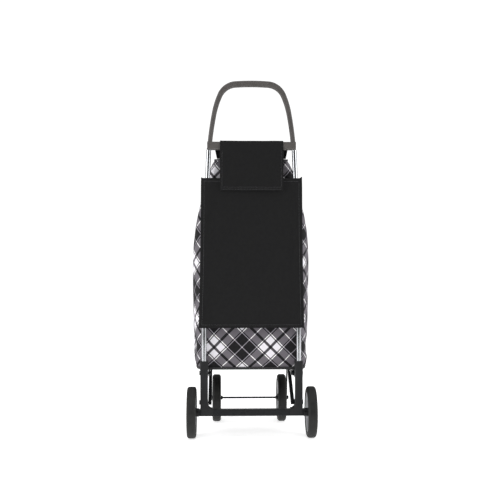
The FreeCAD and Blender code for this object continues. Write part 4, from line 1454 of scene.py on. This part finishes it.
    def floor(self, wardrobe: Wardrobe) -> Piece:
        """The bag's own floor, a black sheet under the base board, which swings up with it.

        Args:
            wardrobe: The finishes.

        Returns:
            The sheet.
        """
        board_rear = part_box("base_board")[0].y
        ring = self.ring(0.0)
        for spot in ring:
            beside = smooth_step(96 * MM, 108 * MM, abs(spot.x))     # the lower brackets stand here
            spot.y = max(spot.y, self.low.y + (board_rear - self.low.y) * beside)
        steps = 12
        middle = Vector((0, (self.low.y + self.stations[0][2]) / 2, self.low.z))
        points, faces = [], []
        for step in range(steps):
            share = 1 - step / steps
            for spot in ring:
                sag = 0.6 * MM * (1 - share ** 4)
                points.append(middle + (spot - middle) * share + Vector((0, 0, 1.9 * MM - sag)))
        faces = grid_faces(steps, len(ring), closed=True)
        points.append(middle + Vector((0, 0, 1.3 * MM)))
        inner = (steps - 1) * len(ring)
        for c in range(len(ring)):
            faces.append((inner + c, inner + (c + 1) % len(ring), len(points) - 1))
        piece = new_piece("bag_floor", points, faces, lambda face, i: (points[i].x, points[i].y))
        thicken(piece, 1.4 * MM)
        return dress(piece, wardrobe.black)


# ---------------------------------------------------------------- the lid and its closing

@dataclass
class Lid:
    """The lid: one padded panel over the mouth, bent down over the front, with a strap and buckle."""

    low: Vector
    high: Vector
    profile: tuple[Point, ...]
    corner: float = 30 * MM
    thickness: float = 3.4 * MM
    piping: float = 1.9 * MM
    inset: float = 7.5 * MM            # the sewn panel ends short of its block, flush with the rim

    def build(self, wardrobe: Wardrobe) -> None:
        """Make the panel, its piped edge and its stitching.

        Args:
            wardrobe: The finishes.
        """
        half = self.high.x - self.inset
        path = self.spread(self.profile, 7 * MM)
        lengths = runs_along(path)
        whole = lengths[-1]
        columns = 33
        points, flats = [], []
        for (y, z), run in zip(path, lengths):
            from_end = whole - run
            width = half
            if from_end < self.corner:
                cut = math.sqrt(max(0.0, self.corner ** 2 - (self.corner - from_end) ** 2))
                width = half - self.corner + cut
            for c in range(columns):
                x = width * (c / (columns - 1) * 2 - 1)
                droop = (1.6 * MM * smooth_step(half - 26 * MM, half, abs(x))
                         * smooth_step(0, 60 * MM, from_end - 120 * MM))
                points.append(Vector((x, y, z - droop)))
                flats.append((x, run))
        panel = new_piece("lid_panel", points, grid_faces(len(path), columns), lambda face, i: flats[i])
        rows = len(path)
        edge = [i for i in range(len(points))
                if i % columns in (0, columns - 1) or i // columns in (0, rows - 1)]
        relax_cloth(panel, edge, within(1 * MM, 0.4 * MM, 1.6 * MM, 1.6 * MM), growth=0.006, weight=-0.3)
        refine(panel, 1)
        dress(panel, wardrobe.tartan, wardrobe.lining)
        thicken(panel, self.thickness, 0, lined=True)
        rim = [points[c] for c in range(columns)]
        rim += [points[r * columns + columns - 1] for r in range(1, rows)]
        rim += [points[(rows - 1) * columns + c] for c in reversed(range(columns - 1))]
        rim += [points[r * columns] for r in reversed(range(1, rows - 1))]
        piping = round_cord("lid_piping", rim, self.piping, True, wardrobe.binding)
        skin = Skin(panel)
        stitches = Stitching()
        inset = 7 * MM
        side_paths = [[], []]
        for (y, z), run in zip(path, lengths):
            if run < inset or whole - run < self.corner:
                continue
            out = Vector((0, 0.7, 1.0)) if z > self.high.z - 30 * MM else Vector((0, 1, 0.15))
            for k, x in enumerate((-half + inset, half - inset)):
                spot = Vector((x, y, z))
                side_paths[k].extend(skin.follow([spot + out * 20 * MM], -out))
        for path_of_side in side_paths:
            stitches.row(path_of_side)
        foot = [Vector((x * MM, self.high.y + 20 * MM, self.low.z + inset + 2 * MM))
                for x in range(-int(half / MM) + 24, int(half / MM) - 23, 4)]
        stitches.row(skin.follow(foot, Vector((0, -1, 0))))
        thread = stitches.make("lid_stitching", wardrobe.thread)
        settle(panel, "lid", "tartan_fabric", "bag_lid")
        settle(piping, "lid", "black_fabric")
        settle(thread, "lid", "black_fabric")
        for piece in (panel, piping, thread):
            crumple(piece)

    @staticmethod
    def spread(corners: Sequence[Point], pitch: float) -> list[Point]:
        """Points along a bent line about one pitch apart, with its corners rounded.

        Args:
            corners: The line's corners.
            pitch: The distance between points.

        Returns:
            The points.
        """
        line = [Vector(c) for c in corners]
        points = []
        for a, b in zip(line, line[1:]):
            steps = max(1, round((b - a).length / pitch))
            points += [a + (b - a) * (i / steps) for i in range(steps)]
        points.append(line[-1])
        for _ in range(3):
            points = [points[0]] + [(points[i - 1] + points[i] * 2 + points[i + 1]) / 4
                                    for i in range(1, len(points) - 1)] + [points[-1]]
        return [tuple(p) for p in points]


@dataclass
class Closing:
    """Webbing and a side-release buckle that hold the lid down at the front."""

    strap_thickness: float = 1.5 * MM

    def build(self, wardrobe: Wardrobe) -> None:
        """Make both tapes, the plug and the socket.

        Args:
            wardrobe: The finishes.
        """
        self.upper(wardrobe)
        self.lower(wardrobe)
        self.plug(wardrobe)
        self.socket(wardrobe)

    def sewn(self, name: str, strap: Piece, low: float, high: float,
             wardrobe: Wardrobe) -> Piece:
        """A box of stitches with a cross, as tape ends are sewn.

        Args:
            name: The name of the stitching.
            strap: The tape.
            low: The Z of the box's foot.
            high: The Z of its top.
            wardrobe: The finishes.

        Returns:
            The stitching.
        """
        skin = Skin(strap)
        front = max(v.co.y for v in strap.data.vertices) + 20 * MM
        half = max(v.co.x for v in strap.data.vertices) - 3.2 * MM
        corners = [(-half, low), (half, low), (half, high), (-half, high)]
        lines = list(zip(corners, corners[1:] + corners[:1]))
        lines += [(corners[0], corners[2]), (corners[1], corners[3])]
        stitches = Stitching(2.4 * MM, 0.8 * MM, 0.32 * MM)
        for a, b in lines:
            starts = [Vector((a[0] + (b[0] - a[0]) * t / 10, front, a[1] + (b[1] - a[1]) * t / 10))
                      for t in range(11)]
            stitches.row(skin.follow(starts, Vector((0, -1, 0))))
        return stitches.make(name, wardrobe.thread)

    def upper(self, wardrobe: Wardrobe) -> None:
        """The short tape from the lid to the plug.

        Args:
            wardrobe: The finishes.
        """
        low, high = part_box("lid_strap")
        y = (low.y + high.y) / 2
        steps = 10
        path = [(y + 0.3 * MM * math.sin(i * 0.9), low.z + (high.z - low.z) * i / steps)
                for i in range(steps + 1)]
        strap = tape("lid_strap_webbing", path, high.x - low.x, self.strap_thickness, wardrobe.webbing)
        thread = self.sewn("lid_strap_stitching", strap, high.z - 20 * MM, high.z - 3 * MM, wardrobe)
        settle(strap, "lid", "black_webbing", "lid_strap")
        settle(thread, "lid", "black_webbing")
        crumple(strap)
        crumple(thread)

    def lower(self, wardrobe: Wardrobe) -> None:
        """The longer tape sewn to the bag, with the socket at its top.

        Args:
            wardrobe: The finishes.
        """
        low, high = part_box("bag_strap")
        steps = 16
        y = low.y + self.strap_thickness / 2 + 0.6 * MM
        path = []
        for i in range(steps + 1):
            share = i / steps
            path.append((y + 1.6 * MM * smooth_step(0.45, 0.9, share), low.z + (high.z - low.z) * share))
        strap = tape("bag_strap_webbing", path, high.x - low.x, self.strap_thickness, wardrobe.webbing)
        thread = self.sewn("bag_strap_stitching", strap, low.z + 3 * MM, low.z + 20 * MM, wardrobe)
        settle(strap, "frame", "black_webbing", "bag_strap")
        settle(thread, "frame", "black_webbing")
        crumple(strap)
        crumple(thread)

    def plug(self, wardrobe: Wardrobe) -> None:
        """The plug: a slotted frame for the tape above two shoulders.

        Args:
            wardrobe: The finishes.
        """
        low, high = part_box("buckle_plug")
        half = high.x
        body = rounded([(-half + 2 * MM, low.z), (half - 2 * MM, low.z), (half, low.z + 7 * MM),
                        (half - 1.5 * MM, high.z), (-half + 1.5 * MM, high.z),
                        (-half, low.z + 7 * MM)], 3 * MM)
        slot = rounded([(-half + 4 * MM, high.z - 8 * MM), (half - 4 * MM, high.z - 8 * MM),
                        (half - 4 * MM, high.z - 4 * MM), (-half + 4 * MM, high.z - 4 * MM)], 1.5 * MM)
        frame = moulding("buckle_plug_body", [body, slot], low.y, high.y - 1.5 * MM, 1.1 * MM,
                         wardrobe.buckle)
        pad = rounded([(-9 * MM, low.z + 3 * MM), (9 * MM, low.z + 3 * MM),
                       (11 * MM, low.z + 11 * MM), (-11 * MM, low.z + 11 * MM)], 2 * MM)
        raised = moulding("buckle_plug_pad", [pad], high.y - 2.2 * MM, high.y, 0.8 * MM, wardrobe.buckle)
        settle(frame, "lid", "buckle_plastic", "buckle_plug")
        settle(raised, "lid", "buckle_plastic")
        crumple(frame)
        crumple(raised)

    def socket(self, wardrobe: Wardrobe) -> None:
        """The socket: a hollowed shell with a window each side for the plug's prongs.

        Args:
            wardrobe: The finishes.
        """
        low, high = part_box("buckle_socket")
        half = high.x
        waist = 4.5 * MM
        middle = low.z + (high.z - low.z) * 0.58
        body = rounded([(-half + 3 * MM, low.z), (half - 3 * MM, low.z), (half, low.z + 8 * MM),
                        (half, middle - 7 * MM), (half - waist, middle - 4 * MM),
                        (half - waist, middle + 4 * MM), (half, middle + 7 * MM), (half - 1 * MM, high.z),
                        (-half + 1 * MM, high.z), (-half, middle + 7 * MM), (-half + waist, middle + 4 * MM),
                        (-half + waist, middle - 4 * MM), (-half, middle - 7 * MM),
                        (-half, low.z + 8 * MM)], 2.4 * MM)
        slot = rounded([(-half + 4.5 * MM, low.z + 4 * MM), (half - 4.5 * MM, low.z + 4 * MM),
                        (half - 4.5 * MM, low.z + 7.5 * MM), (-half + 4.5 * MM, low.z + 7.5 * MM)], 1.4 * MM)
        frame = moulding("buckle_socket_body", [body, slot], low.y, high.y - 1.2 * MM, 1.1 * MM,
                         wardrobe.buckle)
        pad = rounded([(-8 * MM, middle - 8 * MM), (8 * MM, middle - 8 * MM),
                       (10 * MM, high.z - 3 * MM), (-10 * MM, high.z - 3 * MM)], 2.5 * MM)
        raised = moulding("buckle_socket_pad", [pad], high.y - 2 * MM, high.y, 0.8 * MM, wardrobe.buckle)
        prongs = []
        for side in (-1, 1):
            x = side * (half - waist / 2 - 0.6 * MM)
            press = rounded([(x - 1.6 * MM, middle - 3.4 * MM), (x + 1.6 * MM, middle - 3.4 * MM),
                             (x + 1.6 * MM, middle + 3.4 * MM), (x - 1.6 * MM, middle + 3.4 * MM)], 1.2 * MM)
            prongs.append(moulding(f"buckle_prong_{'left' if side < 0 else 'right'}", [press],
                                   low.y + 2 * MM, high.y - 3 * MM, 0.6 * MM, wardrobe.buckle))
        settle(frame, "frame", "buckle_plastic", "buckle_socket")
        for piece in (raised, *prongs):
            settle(piece, "frame", "buckle_plastic")
        for piece in (frame, raised, *prongs):
            crumple(piece)


# ---------------------------------------------------------------- rear panel, band and flap

def hemmed_sheet(name: str, spot_at: Callable[[float, float], Vector], width_at: Callable[[float], float],
                 length: float, pitch: float, hem: float, wardrobe: Wardrobe,
                 ripple: Callable[[float, float], float], thickness: float = 1.3 * MM,
                 held_rows: Callable[[float], bool] = lambda t: False,
                 levels: int = 2, growth: float = 0.008,
                 give: tuple[float, float, float, float] = (1 * MM, 2 * MM, 1 * MM, 1 * MM),
                 lift: Callable[[float, float], float] = lambda across, along: 0.0) -> Piece:
    """A sheet of black cloth with its edges turned over.

    Args:
        name: The piece's name.
        spot_at: The place for a distance across, from the middle, and a distance along.
        width_at: Half its width at a distance along.
        length: Its length.
        pitch: The grid's pitch before it is refined.
        hem: The width of the turned edge.
        wardrobe: The finishes.
        ripple: How far the cloth stands out along its normal, for a distance across and along.
        thickness: The cloth's thickness.
        held_rows: Whether the cloth is sewn at a distance along.
        levels: How often it is refined.
        growth: How much looser than its shape the cloth is.
        give: Limits for within.
        lift: How far the cloth is pulled up, for a distance across and along.

    Returns:
        The sheet, finished but not yet on a body.
    """
    rows = max(3, round(length / pitch) + 1)
    columns = max(3, round(2 * width_at(0.0) / pitch) + 1)
    points, flats = [], []
    for r in range(rows):
        along = length * r / (rows - 1)
        for c in range(columns):
            across = width_at(along) * (c / (columns - 1) * 2 - 1)
            points.append(spot_at(across, along))
            flats.append((across, along))
    sheet = new_piece(name, points, grid_faces(rows, columns), lambda face, i: flats[i])
    held = [i for i, (_, along) in enumerate(flats) if held_rows(along)]
    if held:
        relax_cloth(sheet, held, within(*give), growth=growth, weight=0.8)
    refine(sheet, levels)
    layer = sheet.data.uv_layers[CLOTH_MAP].data
    where = {}
    for loop in sheet.data.loops:
        where[loop.vertex_index] = layer[loop.index].uv.copy()

    def shaped(i: int, spot: Vector, normal: Vector) -> Vector:
        """Ripple the cloth, and raise its hem with a groove where it is sewn.

        Args:
            i: The vertex's number.
            spot: The point.
            normal: Its normal.

        Returns:
            Its new place.
        """
        across, along = where[i]
        stand = ripple(across, along)
        to_edge = min(width_at(along) - abs(across), along, length - along)
        step = 1 - smooth_step(hem - 0.8 * MM, hem + 0.8 * MM, to_edge)
        groove = bell(to_edge - hem + 1.2 * MM, 1.4 * MM) * 0.35 * MM
        stand += step * 0.8 * MM - groove
        return spot + normal * stand + Vector((0, 0, lift(across, along)))

    shape_points(sheet, shaped)
    thicken(sheet, thickness)
    return dress(sheet, wardrobe.black)


@dataclass
class RearPanel:
    """The black panel stretched across the backs of both uprights, hemmed all round."""

    low: Vector
    high: Vector
    top_half: float = 151 * MM
    hem: float = 11 * MM
    swell: float = 2.0 * MM            # how far the cloth stands out where it crosses a tube
    ear: float = 5 * MM                # the right top corner is pulled up into a small point

    def build(self, wardrobe: Wardrobe) -> None:
        """Stretch the panel, and stitch its hem.

        Args:
            wardrobe: The finishes.
        """
        height = self.high.z - self.low.z
        foot_half = self.high.x
        y = self.low.y + 1.6 * MM
        left_tube, right_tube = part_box("left_frame_tube"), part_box("right_frame_tube")
        tube_foot = (right_tube[1].x - left_tube[0].x) / 2 - 7.2 * MM
        tube_top = tube_foot - 10 * MM

        def width_at(along: float) -> float:
            """Half width, which narrows towards the top and draws in a little between its ends."""
            share = along / height
            return foot_half + (self.top_half - foot_half) * share - 1.8 * MM * math.sin(math.pi * share)

        def spot_at(across: float, along: float) -> Vector:
            """The panel's flat place."""
            return Vector((across, y, self.low.z + along))

        def lift(across: float, along: float) -> float:
            """The small points of the two top corners.

            Args:
                across: Distance from the middle.
                along: Height above the foot.

            Returns:
                How far the cloth is pulled up.
            """
            pull = smooth_step(height - 14 * MM, height, along)
            right = self.ear * bell(across - width_at(along), 4.5 * MM)
            left = self.ear * 0.4 * bell(across + width_at(along), 3.5 * MM)
            return (right + left) * pull

        def ripple(across: float, along: float) -> float:
            """Swells over the tubes, slack between them, and faint pulls from the corners.

            Args:
                across: Distance from the middle.
                along: Height above the foot.

            Returns:
                How far the cloth stands out.
            """
            share = along / height
            tube = tube_foot + (tube_top - tube_foot) * smooth_step(0.0, 1.0, share)
            over = (self.swell * bell(abs(across) - tube, 9 * MM)
                    - 0.9 * MM * bell(abs(across) - tube + 24 * MM, 12 * MM))
            slack = noise.noise(Vector((across * 14, along * 5, 3.1))) * 0.9 * MM
            pull = math.sin((abs(across) + along) * 90) * 0.35 * MM * smooth_step(0.6, 1.0, share) \
                * smooth_step(70 * MM, 130 * MM, abs(across))
            return over + slack * (1 - bell(abs(across) - tube, 16 * MM)) + pull

        panel = hemmed_sheet("rear_panel_cloth", spot_at, width_at, height, 10 * MM, self.hem, wardrobe,
                             ripple, held_rows=lambda a: a < 8 * MM or a > height - 8 * MM, lift=lift,
                             give=(0.8 * MM, 1.2 * MM, 0.3 * MM, 0.8 * MM))
        skin = Skin(panel)
        stitches = Stitching()
        inner = self.hem - 1.8 * MM
        steps = 150

        def seam(place: Callable[[float], tuple[float, float]]) -> None:
            """Sew one line of the hem.

            Args:
                place: Gives across and along for a share of the line.
            """
            starts = []
            for i in range(steps + 1):
                across, along = place(i / steps)
                spot = spot_at(across, along)
                starts.append(Vector((spot.x, y - 30 * MM, spot.z)))
            stitches.row(skin.follow(starts, Vector((0, 1, 0))))

        for side in (-1, 1):
            seam(lambda t, side=side: (side * (width_at(t * height) - inner),
                                       inner + t * (height - 2 * inner)))
        for along in (inner, height - inner):
            seam(lambda t, along=along: ((t * 2 - 1) * (width_at(along) - inner), along))
        thread = stitches.make("rear_panel_stitching", wardrobe.thread)
        settle(panel, "frame", "black_fabric", "rear_panel")
        settle(thread, "frame", "black_fabric")


@dataclass
class HangBand:
    """The black band that hangs the bag from the cross piece: narrower at its foot."""

    low: Vector
    high: Vector
    foot_half: float = 104 * MM
    rise: float = 6 * MM               # how far it laps over the fold's front leg

    def build(self, wardrobe: Wardrobe) -> None:
        """Hang the band and stitch it.

        Args:
            wardrobe: The finishes.
        """
        height = self.high.z - self.low.z + self.rise
        y = (self.low.y + self.high.y) / 2

        def width_at(along: float) -> float:
            """Half width at a height above the band's foot."""
            share = min(1.0, along / (self.high.z - self.low.z))
            return self.foot_half + (self.high.x - self.foot_half) * share

        def spot_at(across: float, along: float) -> Vector:
            """The band's place; its top lies over the fold."""
            step = 1.9 * MM * smooth_step(height - self.rise - 5 * MM, height - self.rise, along)
            return Vector((across, y + step, self.low.z + along))

        band = hemmed_sheet("hang_band_cloth", spot_at, width_at, height, 6 * MM, 5 * MM, wardrobe,
                            lambda x, a: noise.noise(Vector((x * 30, a * 20, 7.7))) * 0.35 * MM,
                            thickness=1.2 * MM, levels=1)
        skin = Skin(band)
        stitches = Stitching()
        for along in (3.5 * MM, height - 4 * MM):
            starts = [Vector((x * MM, y + 40 * MM, self.low.z + along)) for x in range(-100, 101, 4)]
            stitches.row(skin.follow(starts, Vector((0, -1, 0))))
        thread = stitches.make("hang_band_stitching", wardrobe.thread)
        settle(band, "frame", "black_fabric", "hang_band")
        settle(thread, "frame", "black_fabric")


@dataclass
class CarryFlap:
    """The flap and the fold it hangs from: one black sheet laid over the handle's cross piece."""

    low: Vector
    high: Vector
    fold_low: Vector
    fold_high: Vector
    hem: float = 10 * MM
    corner: float = 3.2 * MM
    sewn_from: float = 126 * MM        # the cloth is held to the cross piece from here up

    def path(self) -> list[Point]:
        """The sheet's line from the flap's foot, over the cross piece, to the fold's front foot.

        Returns:
            Its points as (y, z).
        """
        rear = (self.low.y + self.high.y) / 2 + 0.1 * MM
        top = self.fold_high.z - 1.0 * MM
        front = self.fold_high.y - 1.25 * MM
        r = self.corner
        points = [(rear, self.low.z)]
        z = self.low.z
        while z < top - r - 8 * MM:
            z += 7 * MM
            points.append((rear, z))
        for step in range(5):
            angle = math.pi - step * math.pi / 8
            points.append((rear + r + r * math.cos(angle), top - r + r * math.sin(angle)))
        for i in range(1, 4):
            points.append((rear + r + (front - rear - 2 * r) * i / 4, top))
        for step in range(5):
            angle = math.pi / 2 - step * math.pi / 8
            points.append((front - r + r * math.cos(angle), top - r + r * math.sin(angle)))
        points.append((front, self.fold_low.z + 0.6 * MM))
        return points

    def build(self, wardrobe: Wardrobe) -> None:
        """Drape the sheet, turn its hem and stitch it.

        Args:
            wardrobe: The finishes.
        """
        path = self.path()
        runs = runs_along(path)
        half = self.high.x
        columns = 21
        points, flats = [], []
        for (y, z), run in zip(path, runs):
            hang = 1 - smooth_step(0.0, 118 * MM, run)
            for c in range(columns):
                share = c / (columns - 1) * 2 - 1
                across = half * share
                narrow = 1 - 0.012 * hang
                points.append(Vector((across * narrow, y, z)))
                flats.append((across, run))
        sheet = new_piece("carry_flap_cloth", points, grid_faces(len(path), columns),
                          lambda face, i: flats[i])
        sewn = [i for i, (_, run) in enumerate(flats) if run > self.sewn_from]
        relax_cloth(sheet, sewn, within(1.0 * MM, 2.4 * MM, 0.5 * MM, 1.5 * MM),
                    growth=0.02, weight=1.0, frames=26)
        refine(sheet, 2)
        layer = sheet.data.uv_layers[CLOTH_MAP].data
        where = {loop.vertex_index: layer[loop.index].uv.copy() for loop in sheet.data.loops}

        def shaped(i: int, spot: Vector, normal: Vector) -> Vector:
            """Fold the hanging part and raise its hem, always away from the panel behind it.

            Args:
                i: The vertex's number.
                spot: The point.
                normal: Its normal.

            Returns:
                Its new place.
            """
            across, run = where[i]
            to_edge = min(half - abs(across), run)
            edge = self.hem if run < half - abs(across) else self.hem * 0.7
            step = 1 - smooth_step(edge - 0.8 * MM, edge + 0.8 * MM, to_edge)
            out = Vector((0, -1, 0)) if run < self.sewn_from else normal
            hem = step * 0.75 * MM * (1 if run < 132 * MM else 0.4)
            return spot + out * (hem + self.folds(across, run))

        shape_points(sheet, shaped)
        thicken(sheet, 1.3 * MM)
        dress(sheet, wardrobe.black)
        skin = Skin(sheet)
        stitches = Stitching()
        rear = self.low.y - 30 * MM
        for level in (self.hem - 1.5 * MM, 2.6 * MM):
            starts = [Vector((x * MM, rear, self.low.z + level)) for x in range(-90, 91, 3)]
            stitches.row(skin.follow(starts, Vector((0, 1, 0))))
        for side in (-1, 1):
            starts = [Vector((side * (half - 6.2 * MM), rear, self.low.z + 12 * MM + i * 3 * MM))
                      for i in range(36)]
            stitches.row(skin.follow(starts, Vector((0, 1, 0))))
        thread = stitches.make("carry_flap_stitching", wardrobe.thread)
        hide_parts("carry_flap", "flap_fold")
        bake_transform(sheet)
        LOG.info("carry_flap_cloth bends between frame and flap, %d faces", len(sheet.data.polygons))
        settle(thread, "flap", "black_fabric")

    def folds(self, across: float, run: float) -> float:
        """Soft upright folds that open towards the flap's foot.

        Args:
            across: Distance from the flap's middle.
            run: Distance from its foot.

        Returns:
            How far the cloth stands out, in metres.
        """
        free = 1 - smooth_step(10 * MM, 128 * MM, run)
        wide = 1.5 * MM * math.sin(across * 33 + 0.7) * free
        fine = 0.5 * MM * math.sin(across * 88 + run * 12) * free
        ridge = 2.2 * MM * bell(across - 58 * MM - run * 0.1, 20 * MM) * (0.3 + 0.7 * free)
        near_top = noise.noise(Vector((across * 22, run * 16, 1.3))) * 0.5 * MM
        return max(-0.8 * MM, wide + fine + ridge + near_top)


# ---------------------------------------------------------------- the hard parts

@dataclass
class HardParts:
    """The frame, handle, undercarriage and wheels keep their shapes and get their finishes."""

    wardrobe: Wardrobe

    def build(self) -> None:
        """Finish every hard part by name."""
        w = self.wardrobe
        sides = ("left", "right")
        wheels = [f"{end}_{side}" for end in ("rear", "front") for side in sides]
        finishes = {
            w.tube: [f"{side}_frame_tube" for side in sides],
            w.grip: ["handle"],
            w.bracket: [f"{side}_lower_bracket" for side in sides] + [f"{side}_brace" for side in sides],
            w.steel: ["rear_crossbar", "tray_front_rod", "tray_rear_rod"]
            + [f"{side}_tray_arm" for side in sides] + [f"{side}_front_leg" for side in sides],
            w.plug: ["crossbar_end_plugs"],
            w.axle: ["rear_axle", "front_axle"],
            w.bolt: ["fold_pivot_bolts", "latch_pins", "undercarriage_rivets", "front_axle_nuts"],
            w.cap: ["rear_axle_caps", "front_hub_spacers"],
            w.base: ["base_board"],
            w.rims["rear"]: [f"rear_{side}_rim" for side in sides],
            w.rims["front"]: [f"front_{side}_rim" for side in sides],
            w.tyre: [f"{wheel}_tyre" for wheel in wheels],
        }
        for finish, names in finishes.items():
            for name in names:
                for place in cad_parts[name].material_slots:
                    place.material = finish
                LOG.info("%s is finished in %s", name, finish.name)


# ---------------------------------------------------------------- the studio

@dataclass
class Studio:
    """A white paper floor, soft lights and the camera behind the trolley at half its height."""

    distance: float = 2.629            # from the camera to the uprights
    side_step: float = 80 * MM         # the camera stands this far left of the middle
    lens: float = 63.1
    near_edge: float = -1.9            # the paper ends here, so that bright metal shows the dark beyond it
    paper_reach: float = 9.0
    paper_glow: float = 0.64
    room_seen: float = 1.1             # how bright the room is to the camera
    room_dark: float = 0.05            # and to reflections, behind the camera and elsewhere
    room_lit: float = 0.42
    eye_share: float = 0.5274          # the camera's height as a share of the trolley's
    aim_side: float = -4.5 * MM
    # each light's name, place, size and power
    lamps: tuple[tuple[str, tuple[float, float, float], float, float], ...] = (
        ("light_top", (0.0, -0.2, 2.6), 2.2, 22.0), ("light_left", (-2.7, -1.3, 1.3), 1.6, 42.0),
        ("light_right", (2.8, -1.2, 1.4), 1.6, 38.0))

    def build(self) -> None:
        """Lay the floor, hang the lights and place the camera."""
        self.floor()
        self.surroundings()
        self.lights()
        self.camera()

    def floor(self) -> None:
        """Lay the paper."""
        reach = self.paper_reach
        steps = 12
        points = [Vector(((c / steps * 2 - 1) * reach,
                          self.near_edge + (reach - self.near_edge) * r / steps, 0.0))
                  for r in range(steps + 1) for c in range(steps + 1)]
        paper = new_piece("paper_floor", points, grid_faces(steps + 1, steps + 1))
        finish = StudioPaper("white_paper", "#FAFAFA").build()
        shader = next(n for n in finish.node_tree.nodes if n.type == "BSDF_PRINCIPLED")
        shader.inputs["Emission Color"].default_value = (1, 1, 1, 1)
        shader.inputs["Emission Strength"].default_value = self.paper_glow
        dress(paper, finish)

    def surroundings(self) -> None:
        """A white room, darker behind the camera, as bright metal shows it."""
        world = bpy.data.worlds.new("studio_room")
        bpy.context.scene.world = world
        world.use_nodes = True
        tree = world.node_tree
        tree.nodes.clear()
        way = add_node(tree, "SeparateXYZ", {0: add_node(tree, "TexCoord").outputs["Generated"]})
        dark = add_node(tree, "MapRange", {"Value": way.outputs[1], "From Min": -0.99, "From Max": -0.9,
                                           "To Min": self.room_dark, "To Max": self.room_lit}).outputs[0]
        seen = add_node(tree, "LightPath").outputs["Is Camera Ray"]
        strength = add_node(tree, "Mix", {0: seen, 2: dark, 3: self.room_seen}, data_type="FLOAT").outputs[0]
        room = add_node(tree, "Background", {"Color": (1, 1, 1, 1), "Strength": strength})
        add_node(tree, "OutputWorld", {"Surface": room.outputs[0]})

    def lights(self) -> None:
        """Three large soft lights: over the top, and one each side of the camera."""
        middle = Vector((0, 0, 0.5))
        for name, place, size, power in self.lamps:
            lamp = bpy.data.lights.new(name, "AREA")
            lamp.shape = "SQUARE"
            lamp.size = size
            lamp.energy = power
            light = bpy.data.objects.new(name, lamp)
            light.location = place
            light.rotation_euler = (middle - Vector(place)).to_track_quat("-Z", "Y").to_euler()
            bpy.context.scene.collection.objects.link(light)

    def camera(self) -> None:
        """Place the camera level, half way up, aimed at the uprights."""
        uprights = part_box("left_frame_tube")
        depth = (uprights[0].y + uprights[1].y) / 2
        height = CAD_BOX[1][2] * self.eye_share
        aim = Vector((self.aim_side, depth, height))
        eye = Vector((-self.side_step, depth - self.distance, height))
        lens = bpy.data.cameras.new("camera")
        lens.lens = self.lens
        lens.sensor_width = 36.0
        camera = bpy.data.objects.new("camera", lens)
        camera.location = eye
        camera.rotation_euler = (aim - eye).to_track_quat("-Z", "Y").to_euler()
        bpy.context.scene.collection.objects.link(camera)
        bpy.context.scene.camera = camera
        bpy.context.scene.view_settings.view_transform = "Standard"


# ---------------------------------------------------------------- building it


def main() -> None:
    """Build the studio and every sub-assembly, in order."""
    logging.basicConfig(level=logging.INFO, format="%(message)s")
    Studio().build()
    wardrobe = Wardrobe()
    HardParts(wardrobe).build()
    bag_low, bag_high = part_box("bag_shell")
    Bag(bag_low, bag_high).build(wardrobe)
    lid_low, lid_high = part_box("bag_lid")
    top = lid_high.z - 2 * MM
    front = lid_high.y - 2 * MM
    Lid(lid_low, lid_high, profile=(
        (lid_low.y + 2 * MM, top), (bag_high.y - 22 * MM, top), (bag_high.y - 7.6 * MM, bag_high.z - 35 * MM),
        (front, bag_high.z - 90 * MM), (front, lid_low.z + 2 * MM))).build(wardrobe)
    Closing().build(wardrobe)
    RearPanel(*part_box("rear_panel")).build(wardrobe)
    HangBand(*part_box("hang_band")).build(wardrobe)
    CarryFlap(*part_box("carry_flap"), *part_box("flap_fold")).build(wardrobe)


if __name__ == "__main__":
    main()
